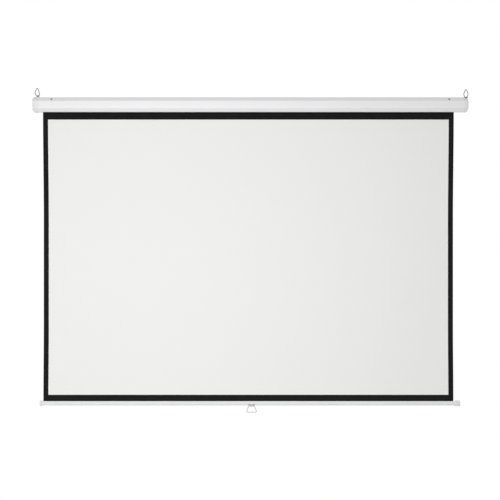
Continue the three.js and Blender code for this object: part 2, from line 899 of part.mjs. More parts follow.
function makeViewingSurface() {
  const outline = sheetOutline(viewWide / 2, -viewDrop, -viewDrop - viewTall);
  return prismY(outline, sheetFrontY, sheetFrontY + surfaceThick);
}

// Bottom bar, in its own frame: the origin is the middle of its section and of the sheet's width

function barCorners() {
  return [
    new THREE.Vector2(barTopFlat / 2, barTall / 2),
    new THREE.Vector2(barDeep / 2, 0),
    new THREE.Vector2(barBottomFlat / 2, -barTall / 2),
    new THREE.Vector2(-barBottomFlat / 2, -barTall / 2),
    new THREE.Vector2(-barDeep / 2, 0),
    new THREE.Vector2(-barTopFlat / 2, barTall / 2),
  ];
}

// The clip's screws stand on the bar's lower front face
function clipScrewSpot(x, lift) {
  const corners = barCorners();
  const onFace = corners[3].clone().lerp(corners[4], clipScrewShare);
  const outwards = rightNormal(corners[4].clone().sub(corners[3]).normalize()).negate();
  const spot = onFace.addScaledVector(outwards, lift);
  return {
    place: new THREE.Vector3(x, spot.x, spot.y),
    direction: new THREE.Vector3(0, outwards.x, outwards.y),
  };
}

function clipScrewHole(x) {
  const reach = clipWall + clipScrewLong + fitGap;
  const { place, direction } = clipScrewSpot(x, clipWall + cutOverrun / 2);
  return placed(rodX(clipScrewShank / 2 + fitGap, -reach - cutOverrun / 2, 0, smallSides), place, direction);
}

const clipScrewXs = [handleOffset - clipScrewSpread, handleOffset + clipScrewSpread];

function makeBar() {
  const corners = [
    new THREE.Vector2(barSlot / 2, barTall / 2),
    ...barCorners(),
    new THREE.Vector2(-barSlot / 2, barTall / 2),
  ];
  const tube = prismX(stripOutline(corners, barWall, barBend), -sheetHalf, sheetHalf);
  return cut(tube, ...clipScrewXs.map(clipScrewHole));
}

const hemInner = hemRod / 2 + fitGap;
const hemZ = barTall / 2 - barWall - fitGap - hemInner - sheetThick;

function makeHemRod() {
  return rodX(hemRod / 2, -sheetHalf, sheetHalf, smallSides).translate(0, 0, hemZ);
}

// The sheet's end, folded round the rod and welded to itself
function makeHem() {
  const loop = prismX(circlePoints(hemInner + sheetThick, smallSides), -sheetHalf, sheetHalf);
  const stem = boxBetween(
    new THREE.Vector3(-sheetHalf, -sheetThick / 2, 0),
    new THREE.Vector3(sheetHalf, sheetThick / 2, barTall / 2 - hemZ),
  );
  const rodRoom = prismX(circlePoints(hemInner, smallSides), -sheetHalf - cutOverrun, sheetHalf + cutOverrun);
  return cut(join(loop, stem), rodRoom).translate(0, 0, hemZ);
}

function makeBarCap(side, wide) {
  const faceX = side * sheetHalf;
  const section = (run, grow) => ({
    x: faceX + side * run,
    outline: roundedPath(insetPath(barCorners(), -grow), barBend + grow),
  });
  const body = loftX([
    section(0, 0),
    section(barCapFlare, barCapGrow),
    section(wide - barCapEndBevel, barCapGrow),
    section(wide, barCapGrow - barCapEndBevel),
  ]);
  const spigotOuter = barWall + fitGap;
  const deepX = faceX - side * barCapSpigotLong;
  const seatX = faceX + side * barCapFlare;
  const spigot = prismX(
    roundedPath(insetPath(barCorners(), spigotOuter), barBend - barWall),
    Math.min(deepX, seatX),
    Math.max(deepX, seatX),
  );
  const hollow = prismX(
    roundedPath(insetPath(barCorners(), spigotOuter + barCapSpigotWall), fitGap),
    Math.min(deepX - side * cutOverrun, seatX),
    Math.max(deepX - side * cutOverrun, seatX),
  );
  const hemRoomHalf = hemInner + sheetThick + fitGap;
  const hemRoom = boxBetween(
    new THREE.Vector3(Math.min(deepX - side * cutOverrun, faceX), -hemRoomHalf, hemZ - hemRoomHalf),
    new THREE.Vector3(Math.max(deepX - side * cutOverrun, faceX), hemRoomHalf, barTall),
  );
  return cut(join(body, spigot), hollow, hemRoom);
}

// Pull handle: a clip bent round the bar's lower half with a rolled barrel for the loop

const clipBarrelInner = handleWire / 2 + fitGap;
const clipBarrelZ = -barTall / 2 - fitGap - clipWall - clipBarrelInner;

function makeClip() {
  const lower = barCorners().slice(1, 5);
  const saddle = stripOutline(insetPath(lower, -fitGap - clipWall, false), clipWall, barBend + clipWall);
  const band = prismX(saddle, handleOffset - clipTopLong / 2, handleOffset + clipTopLong / 2);
  const top = -barTall / 2 + clipRise;
  const barrelHalf = clipBarrelLong / 2;
  const frontView = prismY([
    new THREE.Vector2(handleOffset - clipTopLong / 2, top),
    new THREE.Vector2(handleOffset + clipTopLong / 2, top),
    new THREE.Vector2(handleOffset + barrelHalf, clipBarrelZ - barTall),
    new THREE.Vector2(handleOffset - barrelHalf, clipBarrelZ - barTall),
  ], -barDeep, barDeep);
  const barrelFrom = handleOffset - barrelHalf;
  const barrelTo = handleOffset + barrelHalf;
  const barrel = rodX(clipBarrelInner + clipWall, barrelFrom, barrelTo, smallSides).translate(0, 0, clipBarrelZ);
  const bore = rodX(clipBarrelInner, barrelFrom - cutOverrun, barrelTo + cutOverrun, smallSides);
  const shaped = join(common(band, frontView), barrel);
  return cut(shaped, bore.translate(0, 0, clipBarrelZ), ...clipScrewXs.map(clipScrewHole));
}

function makeClipScrew(x) {
  const { place, direction } = clipScrewSpot(x, fitGap + clipWall + fitGap);
  return placed(panScrew(clipScrewHead, clipScrewHeadTall, clipScrewShank, clipScrewLong), place, direction);
}

function makeHandle() {
  const corners = [
    new THREE.Vector2(-handleTopHalf, 0),
    new THREE.Vector2(handleTopHalf, 0),
    new THREE.Vector2(handleFootHalf, -handleDrop),
    new THREE.Vector2(-handleFootHalf, -handleDrop),
  ];
  return wireLoop(roundedPath(corners, handleTopBend), handleWire / 2, wireSides);
}

// Materials

function finish(color, roughness, metalness) {
  return new THREE.MeshStandardMaterial({ color, roughness, metalness, flatShading: true });
}

const paintWhite = finish(0xeeeeef, 0.42, 0);
const capWhite = finish(0xe9e9ea, 0.5, 0);
const barWhite = finish(0xe6e8e8, 0.4, 0.1);
const blackCloth = finish(0x1c1c1d, 0.85, 0);
const whiteCloth = finish(0xececec, 0.9, 0);
const zinc = finish(0xb4b4b4, 0.35, 0.9);
const darkZinc = finish(0x8f9192, 0.4, 0.9);
const steel = finish(0x9a9c9e, 0.4, 0.9);
const springSteel = finish(0x55585b, 0.45, 0.9);
const nylon = finish(0xdedbd0, 0.55, 0);

// Assembly

function named(name, geometry, material) {
  const mesh = new THREE.Mesh(closedGeometry(geometry), material);
  mesh.name = name;
  return mesh;
}

function makeHead() {
  const head = new THREE.Group();
  head.add(
    named('case_shell', makeCase(), paintWhite),
    named('end_cap_left', makeEndCap(leftCap), capWhite),
    named('end_cap_right', makeEndCap(rightCap), capWhite),
    named('idler_bracket', makeIdlerBracket(), steel),
    named('ratchet_bracket', makeRatchetBracket(), steel),
    named('bracket_screw_left', makeBevelScrew(screwLeftX), zinc),
    named('bracket_screw_right', makeBevelScrew(screwRightX), zinc),
  );
  [['left', leftCap], ['right', rightCap]].forEach(([word, cap]) => {
    const hanger = new THREE.Group();
    hanger.position.copy(lugCentre(cap));
    hanger.add(named(`ring_lug_${word}`, makeLug(), darkZinc));
    hanger.add(named(`hanging_ring_${word}`, makeRing(), zinc));
    head.add(hanger);
  });
  return head;
}

function makeRoller() {
  const roller = new THREE.Group();
  roller.position.set(0, rollerY, 0);
  roller.add(
    named('roller_tube', makeRollerTube(), steel),
    named('idler_plug', makeIdlerPlug(), nylon),
    named('idler_pin', makeIdlerPin(), steel),
    named('idler_bush', makeIdlerBush(), nylon),
    named('drive_plug', makeDrivePlug(), nylon),
    named('arbor_bush', makeArborBush(), nylon),
    named('spring_arbor', makeArbor(), steel),
    named('arbor_collar', makeArborCollar(), steel),
    named('spring_anchor', makeSpringAnchor(), nylon),
    named('torsion_spring', makeSpring(), springSteel),
    named('fabric_roll', makeFabricRoll(), blackCloth),
    named('ratchet_wheel', makeRatchetWheel(), steel),
  );
  [['upper', 0], ['lower', Math.PI]].forEach(([word, angle]) => {
    const catchGroup = new THREE.Group();
    catchGroup.rotation.x = angle;
    catchGroup.add(named(`pawl_${word}`, makePawl(), steel), named(`pawl_pin_${word}`, makePawlPin(), zinc));
    roller.add(catchGroup);
  });
  return roller;
}

function makeSheet() {
  const sheet = new THREE.Group();
  sheet.position.set(sheetOffset, 0, 0);
  sheet.add(
    named('black_backing', makeBacking(), blackCloth),
    named('viewing_surface', makeViewingSurface(), whiteCloth),
  );
  return sheet;
}

function makeBottomBar() {
  const bar = new THREE.Group();
  bar.position.set(sheetOffset, barY, barMidZ);
  const handle = new THREE.Group();
  handle.position.set(handleOffset, 0, clipBarrelZ);
  handle.add(named('pull_handle', makeHandle(), zinc));
  bar.add(
    named('bottom_bar', makeBar(), barWhite),
    named('sheet_hem', makeHem(), blackCloth),
    named('hem_rod', makeHemRod(), steel),
    named('bar_cap_left', makeBarCap(-1, barCapWideLeft), capWhite),
    named('bar_cap_right', makeBarCap(1, barCapWideRight), capWhite),
    named('handle_clip', makeClip(), darkZinc),
    named('clip_screw_left', makeClipScrew(clipScrewXs[0]), zinc),
    named('clip_screw_right', makeClipScrew(clipScrewXs[1]), zinc),
    handle,
  );
  return bar;
}

const screen = new THREE.Group();
screen.add(makeHead(), makeRoller(), makeSheet(), makeBottomBar());

export default screen;
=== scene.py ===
"""Pull-down projector screen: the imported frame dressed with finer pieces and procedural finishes.

Metres, in the frame's own axes: X runs along the case, the front faces -Y, the wall is at +Y, Z is up.
Each piece is a surface worked out on a grid, and its operator's docstring says what it stands for.
"""

import math

import bpy
import mathutils
import numpy as np
from bpy.props import FloatProperty, FloatVectorProperty, PointerProperty
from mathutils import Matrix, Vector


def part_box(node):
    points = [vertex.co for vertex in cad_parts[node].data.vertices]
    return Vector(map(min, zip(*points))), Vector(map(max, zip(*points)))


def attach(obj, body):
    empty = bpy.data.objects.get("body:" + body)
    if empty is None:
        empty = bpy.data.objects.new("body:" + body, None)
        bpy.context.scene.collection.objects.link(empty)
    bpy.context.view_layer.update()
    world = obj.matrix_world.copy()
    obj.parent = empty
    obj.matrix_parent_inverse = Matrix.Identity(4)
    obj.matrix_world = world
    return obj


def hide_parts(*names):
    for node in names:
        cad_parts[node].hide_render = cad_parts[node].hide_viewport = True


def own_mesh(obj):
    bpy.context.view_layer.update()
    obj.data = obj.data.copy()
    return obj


bl_info = {
    "name": "Pull-down projector screen",
    "version": (1, 0, 0),
    "blender": (4, 5, 0),
    "location": "View3D > Sidebar > Screen",
    "description": "Builds the case, cloth, bar, fittings and studio of a wall-mounted pull-down screen",
    "category": "Object",
}

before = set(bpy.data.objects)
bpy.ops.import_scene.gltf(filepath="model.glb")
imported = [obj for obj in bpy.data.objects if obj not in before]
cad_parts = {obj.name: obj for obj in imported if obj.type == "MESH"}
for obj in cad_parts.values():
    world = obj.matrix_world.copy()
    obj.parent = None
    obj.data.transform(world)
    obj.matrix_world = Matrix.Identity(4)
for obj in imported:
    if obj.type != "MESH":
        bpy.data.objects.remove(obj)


def box_of(node):
    """Lowest and highest corner of a node of the frame, as arrays."""
    return np.array(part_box(node))


def middle_of(node):
    """The middle of a node's box."""
    return box_of(node).sum(0) / 2


CASE_LOW, CASE_HIGH = box_of("case_shell")
CLOTH_LOW, CLOTH_HIGH = box_of("black_backing")
VIEW_LOW, VIEW_HIGH = box_of("viewing_surface")
BAR_LOW, BAR_HIGH = box_of("bottom_bar")
CLOTH_MIDDLE = middle_of("black_backing")[0]
CLOTH_WIDE = CLOTH_HIGH[0] - CLOTH_LOW[0]
ROLLER_Y, ROLLER_Z = middle_of("roller_tube")[1:]
BAR_Y, BAR_Z = middle_of("bottom_bar")[1:]
BAR_HALF = (BAR_HIGH[2] - BAR_LOW[2]) / 2

# Lengths that the frame's boxes don't show
FIT = 0.0003  # play between two pieces
CASE_WALL = 0.0012
CASE_BEVEL = 0.018
SLOT_FRONT = -0.0385
SLOT_REAR = -0.023
SLOT_LIP = 0.006
CAP_PROUD = 0.0012  # how far the caps stand out over the case
CAP_WALL = 0.003
CAP_BEND = 0.0025  # round the octagon's corners
CAP_ROUND = 0.009  # quarter circle at the outer end, seen from above
CAP_FALL = 0.014  # height of the cut at the upper corner
CROWN_RUN = 0.003  # over which the right cap's crown steps down
CROWN_FREE = 0.05  # how far above the left cap its crown's limit is, where it holds nothing back
# Each end cap's top cut, bottom cut, rise of the bottom cut and step of the crown
LEFT_CUTS = (0.006, 0.009, 0.013, 0.0)
RIGHT_CUTS = (0.004, 0.0105, 0.018, 0.0067)
SPIGOT_LONG = 0.009
SPIGOT_WALL = 0.002
LIP_ROOM = 0.0028  # beside the slot's lips, in the spigot
SCREW_SHARE = 0.38  # up the case's upper front bevel
CLIP_SCREW_SHARE = 0.3  # up the bar's lower front face
LUG_ROUND = 0.0045
LUG_TALL = 0.006
LUG_HALF = 0.004
LUG_SPREAD = 0.0035  # what the lug's half length gains down to its foot
BAR_WALL = 0.0013
BAR_TOP = 0.010
BAR_BOTTOM = 0.012
BAR_DEEP = 0.011  # half the bar's depth, at its middle height
BAR_SLOT = 0.0024
CLIP_WALL = 0.0012
TUBE_WALL = 0.001
SPRING_WIRE = 0.002
SPRING_TURNS = 24
WAIST = 0.004  # what the hanging cloth's half width loses below the slot
BACKING = 0.0003
COATING = 0.00015
ROLL_PITCH = 0.00075
ROLL_TURNS = 2.25
ROLL_START = 0.005  # in turns: the wound cloth's outer end stays clear of the hanging cloth

# Corners (x, z) of the ring's and the handle loop's wire, from the pivot, and the radii of their bends
RING = np.array([(-6.5, 0), (-11.3, 17), (-3, 38.7), (3, 38.7), (11.3, 17), (6.5, 0)]) / 1000
RING_BENDS = [0.0025, 0.006, 0.003, 0.003, 0.006, 0.0025]
LOOP = np.array([(-15, 0), (15, 0), (26, -30.6), (-26, -30.6)]) / 1000
LOOP_BENDS = [0.003, 0.003, 0.0045, 0.0045]


# Paths in a plane. They run clockwise, so that their inside is on the right hand


def unit(vectors):
    """Each vector at length 1."""
    return vectors / np.linalg.norm(vectors, axis=-1, keepdims=True)


def whole_turn(count):
    """Equal angles of one turn."""
    return np.linspace(0, 2 * np.pi, count, endpoint=False)


def spokes(angle):
    """The unit vectors (cos a, sin a)."""
    return np.stack([np.cos(angle), np.sin(angle)], -1)


def corner_directions(corners, closed):
    """Unit directions into and out of every corner: differences with the points before and after."""
    leaving = np.roll(corners, -1, 0) - corners
    coming = corners - np.roll(corners, 1, 0)
    if not closed:
        leaving[-1] = coming[-1]
        coming[0] = leaving[0]
    return unit(coming), unit(leaving)


def right_normals(directions):
    """The right-hand normal (b, -a) of each direction (a, b)."""
    return np.stack([directions[:, 1], -directions[:, 0]], 1)


def inset_path(corners, distance, closed=True):
    """Every edge moved inwards by a distance: p + (n1 + n2) d / (1 + n1.n2), n1 and n2 its normals."""
    coming, leaving = corner_directions(corners, closed)
    first, second = right_normals(coming), right_normals(leaving)
    reach = distance / (1 + (first * second).sum(1, keepdims=True))
    return corners + (first + second) * reach


def rounded_path(corners, radius, steps, closed=True):
    """Each corner becomes an arc tangent to its edges. It starts r tan(t/2) before the corner, t being
    the turn there, and its points are that start turned about the arc's centre in equal shares of t."""
    coming, leaving = corner_directions(corners, closed)
    cross = coming[:, 0] * leaving[:, 1] - coming[:, 1] * leaving[:, 0]
    turn = np.arctan2(cross, (coming * leaving).sum(1))
    radius = np.broadcast_to(radius, turn.shape)[:, None]
    start = corners - coming * radius * np.tan(np.abs(turn) / 2)[:, None]
    centre = start - right_normals(coming) * np.sign(turn)[:, None] * radius
    angle = (turn[:, None] * np.linspace(0, 1, steps + 1))[..., None]
    spoke = start - centre
    points = spoke[:, None] * np.cos(angle) - right_normals(spoke)[:, None] * np.sin(angle)
    points += centre[:, None]
    if closed:
        return points.reshape(-1, 2)
    return np.concatenate([corners[:1], points[1:-1].reshape(-1, 2), corners[-1:]])


def path_runs(path):
    """How far along a path each of its points lies."""
    return np.concatenate([[0], np.cumsum(np.linalg.norm(np.diff(path, axis=0), axis=1))])


def evenly_spaced(path, count, closed=True):
    """The path read again at equal steps of its own length."""
    line = np.concatenate([path, path[:1]]) if closed else path
    run = path_runs(line)
    places = np.linspace(0, run[-1], count, endpoint=not closed)
    return np.stack([np.interp(places, run, line[:, i]) for i in range(line.shape[1])], 1)


def smooth_step(value, start, end):
    """3t^2 - 2t^3 of the share t that value has covered from start to end."""
    share = np.clip((value - start) / (end - start), 0, 1)
    return share * share * (3 - 2 * share)


def soft_least(first, second, blend):
    """The lesser of two values with the crease between them eased: (a + b - sqrt((a-b)^2 + k^2)) / 2."""
    return (first + second - np.sqrt((first - second) ** 2 + blend**2)) / 2


def draw_in(run, wide, radius):
    """How far a quarter circle before the end at wide has drawn in at a run: r - sqrt(r^2 - d^2)."""
    return radius - np.sqrt(radius**2 - np.clip(run - wide + radius, 0, None) ** 2)


def end_runs(wide, radius, count):
    """The runs of points at equal angles of that quarter circle, without its first."""
    return wide - radius + radius * np.sin(np.linspace(0, np.pi / 2, count))[1:]


# Shells. A shell is its points, its quads and its triangles


def grid_shell(points, wrap_rows=False, wrap_columns=True, close=True):
    """A surface from a grid of points (row, column, xyz). A direction that wraps joins its last line to
    its first. With close, the first and last rows are filled by triangles round their mean points. Where
    the rows wrap instead, they are a front and then a back in reverse, and quads join these two along
    the first and last columns."""
    rows, columns = points.shape[:2]
    number = np.arange(rows * columns).reshape(rows, columns)
    below = np.roll(number, -1, 0)
    quads = np.stack([number, np.roll(number, -1, 1), np.roll(below, -1, 1), below], -1)
    quads = quads[: None if wrap_rows else -1, : None if wrap_columns else -1].reshape(-1, 4)
    places = points.reshape(-1, 3)
    triangles = np.zeros((0, 3), int)
    if close and wrap_columns:
        rims = np.stack([number[0][::-1], number[-1]])
        hubs = np.broadcast_to(len(places) + np.arange(2)[:, None], rims.shape)
        triangles = np.stack([rims, np.roll(rims, -1, 1), hubs], -1).reshape(-1, 3)
        places = np.concatenate([places, places[rims].mean(1)])
    elif close:
        ahead = np.arange(rows // 2 - 1)
        pairs = np.stack([ahead, ahead + 1, rows - 2 - ahead, rows - 1 - ahead], 1)
        quads = np.concatenate([quads, number[:, 0][pairs], number[:, -1][pairs[:, ::-1]]])
    return places, quads, triangles


def two_faced(front, back):
    """A wall from the grid of its front and the grid of its back, closed along all four borders."""
    return grid_shell(np.concatenate([front, back[::-1]]), wrap_rows=True, wrap_columns=False)


def outwards(shell):
    """The shell with its faces turned outwards: they are reversed where the enclosed volume, the sum
    of a.(b x c) / 6 over its triangles, comes out negative."""
    places, quads, triangles = shell
    corners = np.concatenate([quads[:, :3], quads[:, [0, 2, 3]], triangles])
    a, b, c = (places[corners[:, i]] - places.mean(0) for i in range(3))
    if (a * np.cross(b, c)).sum() < 0:
        return places, quads[:, ::-1], triangles[:, ::-1]
    return shell


def carried(sections, stations):
    """Points (station, column, xyz) of plane sections (y, z) placed at each station's x."""
    sections = np.broadcast_to(sections, (len(stations), *np.shape(sections)[-2:]))
    return np.insert(sections, 0, np.reshape(stations, (-1, 1)), axis=2)


def strip_shell(corners, wall, bend, ends):
    """A bent sheet: its outer face follows the corners, its inner face the same path moved in by the
    wall, and both are carried from one end's x to the other's."""
    outer = rounded_path(corners, bend, 8, False)
    inner = rounded_path(inset_path(corners, wall, False), bend - wall, 8, False)
    return two_faced(carried(outer, ends), carried(inner, ends))


def wire_shell(path, place, radius):
    """A round wire along a closed path (x, z), carried to a place: round each point r cos(a) times the
    path's normal plus r sin(a) times Y."""
    line = np.insert(path, 1, 0, axis=1) + place
    across = np.array([0.0, 1.0, 0.0])
    normal = np.cross(unit(np.roll(line, -1, 0) - np.roll(line, 1, 0)), across)
    angle = whole_turn(20)[:, None]
    rim = normal[:, None] * np.cos(angle) + across * np.sin(angle)
    return grid_shell(line[:, None] + rim * radius, wrap_rows=True, close=False)


def tube_shell(x_low, x_high, outer, inner, sides):
    """A tube along the X axis, between two radii."""
    radius = np.array([outer, outer, inner, inner])[:, None, None]
    sections = carried(radius * spokes(whole_turn(sides)), [x_low, x_high, x_high, x_low])
    return grid_shell(sections, wrap_rows=True, close=False)


def coil_shell(radius, wire, x_low, x_high, turns):
    """A helix of round wire about the X axis: (x(t), R cos 2 pi n t, R sin 2 pi n t), and round it the
    wire's rim, w cos(a) outwards from the axis plus w sin(a) across the helix and that direction."""
    share = np.linspace(0, 1, turns * 40 + 1)
    outward = np.insert(spokes(2 * np.pi * turns * share), 0, 0, axis=1)
    line = outward * radius
    line[:, 0] = x_low + (x_high - x_low) * share
    across = np.cross(unit(np.gradient(line, axis=0)), outward)
    angle = whole_turn(12)[:, None]
    rim = outward[:, None] * np.cos(angle) + across[:, None] * np.sin(angle)
    return grid_shell(line[:, None] + wire / 2 * rim)


def moved(shell, place, direction=(1, 0, 0)):
    """The shell carried to a place, with its +X turned to a direction in the YZ plane or left as it is."""
    side = (0, 1, 0) if direction[0] else (1, 0, 0)
    turn = np.stack([direction, side, np.cross(direction, side)])
    return shell[0] @ turn + place, *shell[1:]


# Pieces


def in_scene(name, data):
    """A new object at the origin, linked into the scene."""
    made = bpy.data.objects.new(name, data)
    bpy.context.scene.collection.objects.link(made)
    return made


def new_object(name, shells, material):
    """One object from shells."""
    places, faces, start = [], [], 0
    for shell in shells:
        places.append(shell[0])
        faces += (shell[1] + start).tolist() + (shell[2] + start).tolist()
        start += len(shell[0])
    mesh = bpy.data.meshes.new(name)
    mesh.from_pydata(np.concatenate(places).tolist(), [], faces)
    mesh.validate()
    mesh.materials.append(material)
    return in_scene(name, mesh)


def make_piece(name, shells, body, finish, node, crease=30):
    """A piece of the screen, smooth but for edges sharper than the crease angle. It rides on a body and
    stands for a node of the frame."""
    piece = new_object(name, map(outwards, shells), bpy.data.materials[finish])
    piece.data.shade_smooth()
    piece.data.set_sharp_from_angle(angle=math.radians(crease))
    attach(piece, body)
    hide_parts(node)
    return piece


def soften(piece, width):
    """A small bevel along a piece's sharp edges."""
    bevel = piece.modifiers.new("eased edges", "BEVEL")
    bevel.width = width
    bevel.segments = 2
    bevel.limit_method = "ANGLE"
    bevel.angle_limit = math.radians(40)
    bevel.harden_normals = True


def cloth_piece(name, faces, flat, body, finish, node):
    """A cloth from the grids of its two faces. Its map, which the weave follows, gives each vertex its
    place on the flat cloth, in metres."""
    piece = make_piece(name, [two_faced(*faces)], body, finish, node, 60)
    mesh = piece.data
    corner = np.empty(len(mesh.loops), int)
    mesh.loops.foreach_get("vertex_index", corner)
    both = np.concatenate([flat, flat[::-1]]).reshape(-1, 2).astype(np.float32)
    mesh.uv_layers.new(name="cloth").data.foreach_set("uv", both[corner].ravel())
    return piece


# Node trees


def set_inputs(tree, node, inputs):
    """Gives a node its inputs. One given as a socket is linked, any other is its value."""
    for key, value in inputs.items():
        if isinstance(value, bpy.types.NodeSocket):
            tree.links.new(value, node.inputs[key])
        else:
            node.inputs[key].default_value = value
    return node


def add_node(tree, kind, inputs=None, **settings):
    """A new shader node with its settings and inputs."""
    node = tree.nodes.new("ShaderNode" + kind)
    for key, value in settings.items():
        setattr(node, key, value)
    return set_inputs(tree, node, inputs or {})


def worked_out(tree, operation, *values, kind="Math"):
    """The result of an operation on numbers and sockets."""
    return add_node(tree, kind, dict(enumerate(values)), operation=operation).outputs[0]


def mixed(tree, share, first, second):
    """One shader changing into another with a share."""
    return add_node(tree, "MixShader", {0: share, 1: first, 2: second}).outputs[0]


def noise(tree, place, scale, detail, roughness=0.5):
    """The level of a noise at a place."""
    inputs = {"Vector": place, "Scale": scale, "Detail": detail, "Roughness": roughness}
    return add_node(tree, "TexNoise", inputs).outputs["Fac"]


def new_group(name, result, **inputs):
    """An empty shader group that takes a vector and the named inputs, each with its kind of socket.
    Returns its tree, its input sockets and the socket of its result."""
    tree = bpy.data.node_groups.new(name, "ShaderNodeTree")
    for word, kind in {"Vector": "Vector", **inputs}.items():
        tree.interface.new_socket(word, in_out="INPUT", socket_type="NodeSocket" + kind)
    kind = "NodeSocketColor" if result == "Color" else "NodeSocketFloat"
    tree.interface.new_socket(result, in_out="OUTPUT", socket_type=kind)
    given, made = tree.nodes.new("NodeGroupInput"), tree.nodes.new("NodeGroupOutput")
    return tree, given.outputs, made.inputs[0]


def build_groups():
    """The effects that several finishes share: a colour that drifts between two, a grain, a roughness
    that varies, streaks in one direction, and a weave as the product of two sines."""
    tree, given, result = new_group("Tone drift", "Color", Scale="Float", Base="Color", Shade="Color")
    share = noise(tree, given["Vector"], given["Scale"], 2.0)
    colours = {0: share, 6: given["Base"], 7: given["Shade"]}
    tree.links.new(add_node(tree, "Mix", colours, data_type="RGBA").outputs[2], result)

    tree, given, result = new_group("Fine grain", "Height", Scale="Float", Detail="Float")
    tree.links.new(noise(tree, given["Vector"], given["Scale"], given["Detail"]), result)

    tree, given, result = new_group("Handling marks", "Roughness", Scale="Float", Low="Float", High="Float")
    marks = noise(tree, given["Vector"], given["Scale"], 5.0, 0.65)
    ends = {"Value": marks, "From Min": 0.3, "From Max": 0.7, "To Min": given["Low"], "To Max": given["High"]}
    tree.links.new(add_node(tree, "MapRange", ends).outputs["Result"], result)

    tree, given, result = new_group("Drawn streaks", "Height", Stretch="Vector")
    drawn = worked_out(tree, "MULTIPLY", given["Vector"], given["Stretch"], kind="VectorMath")
    tree.links.new(noise(tree, drawn, 1.0, 4.0, 0.6), result)

    tree, given, result = new_group("Plain weave", "Height", Threads="Float")
    scaled = {0: given["Vector"], "Scale": given["Threads"]}
    threads = add_node(tree, "VectorMath", scaled, operation="SCALE").outputs[0]
    crossing = add_node(tree, "SeparateXYZ", {0: threads}).outputs
    waves = (worked_out(tree, "SINE", worked_out(tree, "MULTIPLY", crossing[i], math.pi)) for i in "XY")
    woven = worked_out(tree, "MULTIPLY", *waves)
    tree.links.new(worked_out(tree, "MULTIPLY_ADD", woven, 0.5, 0.5), result)


def shared(tree, name, **inputs):
    """The result of a shared effect in a finish, with its own inputs."""
    return add_node(tree, "Group", inputs, node_tree=bpy.data.node_groups[name]).outputs[0]


def new_finish(name, base, shade, roughness, bumps, drift=2.5, marks=14.0, map_name=None, **plain):
    """A finish with a colour that drifts from base to shade, which is a colour or a share of base, a
    roughness that varies between two values, and bumps, each a shared effect's name, its inputs, its
    strength and its height in metres."""
    material = bpy.data.materials.new(name)
    material.use_nodes = True
    tree = material.node_tree
    if map_name:
        place = add_node(tree, "UVMap", uv_map=map_name).outputs["UV"]
    else:
        place = add_node(tree, "TexCoord").outputs["Object"]
    if isinstance(shade, float):
        shade = np.array(base) * shade
    colours = {"Base": (*base, 1.0), "Shade": (*shade, 1.0)}
    inputs = {word.replace("_", " "): value for word, value in plain.items()}
    inputs["Base Color"] = shared(tree, "Tone drift", Vector=place, Scale=drift, **colours)
    ends = {"Low": roughness[0], "High": roughness[1]}
    inputs["Roughness"] = shared(tree, "Handling marks", Vector=place, Scale=marks, **ends)
    for group, values, strength, height in bumps:
        bump = {"Strength": strength, "Distance": height}
        bump["Height"] = shared(tree, group, Vector=place, **values)
        if "Normal" in inputs:
            bump["Normal"] = inputs["Normal"]
        inputs["Normal"] = add_node(tree, "Bump", bump).outputs["Normal"]
    set_inputs(tree, tree.nodes["Principled BSDF"], inputs)


# What a user would change


def length(name, description, default):
    """A setting in metres."""
    return FloatProperty(name=name, description=description, default=default, unit="LENGTH")


def colour(name, description, default):
    """A setting that holds a colour."""
    return FloatVectorProperty(name=name, description=description, default=default, subtype="COLOR")


class ScreenSizes(bpy.types.PropertyGroup):
    """Sizes of the dressed pieces that the frame leaves open."""

    case_bend: length("Case bend", "Outer radius of the case's bends", 0.0025)
    cap_edge: length("Cap edge", "How far the moulded caps' creases are eased", 0.0016)
    cloth_wave: length("Cloth wave", "Height of the hanging cloth's slow waves", 0.0009)
    edge_curl: length("Edge curl", "How far the cloth's side edges curl back", 0.0009)
    ring_wire: length("Ring wire", "Diameter of the hanging rings' wire", 0.004)
    handle_wire: length("Handle wire", "Diameter of the pull handle's wire", 0.0032)
    bar_bend: length("Bar bend", "Outer radius of the bottom bar's bends", 0.002)


class ScreenColours(bpy.types.PropertyGroup):
    """Colours of the finishes."""

    case_white: colour("Case paint", "Powder coat of the case", (0.83, 0.83, 0.84))
    cap_white: colour("Caps", "Moulded end caps of the case and bar", (0.79, 0.79, 0.80))
    bar_white: colour("Bar paint", "Paint of the bottom bar", (0.80, 0.82, 0.81))
    view_white: colour("Viewing surface", "Matt white coating", (0.86, 0.86, 0.85))
    black_cloth: colour("Cloth", "Black cloth of the border and back", (0.0062, 0.0062, 0.0065))
    zinc: colour("Zinc wire", "Handle loop and screws", (0.36, 0.36, 0.355))
    bright_zinc: colour("Zinc sheet", "Clip of the handle", (0.62, 0.62, 0.61))
    dark_zinc: colour("Dark plate", "Rings and lugs", (0.21, 0.21, 0.21))
    floor: colour("Floor", "Studio floor", (0.75, 0.75, 0.75))


def grain(scale, strength, height, detail=3.0):
    """A bump of fine grain, as new_finish takes it."""
    return "Fine grain", {"Scale": scale, "Detail": detail}, strength, height


def weave(threads, strength, height):
    """A bump of woven cloth with a number of threads in a metre."""
    return "Plain weave", {"Threads": threads}, strength, height


def streaks(along, across, strength, height):
    """A bump of streaks along X, by the noise's scale along and across them."""
    return "Drawn streaks", {"Stretch": (along, across, across)}, strength, height


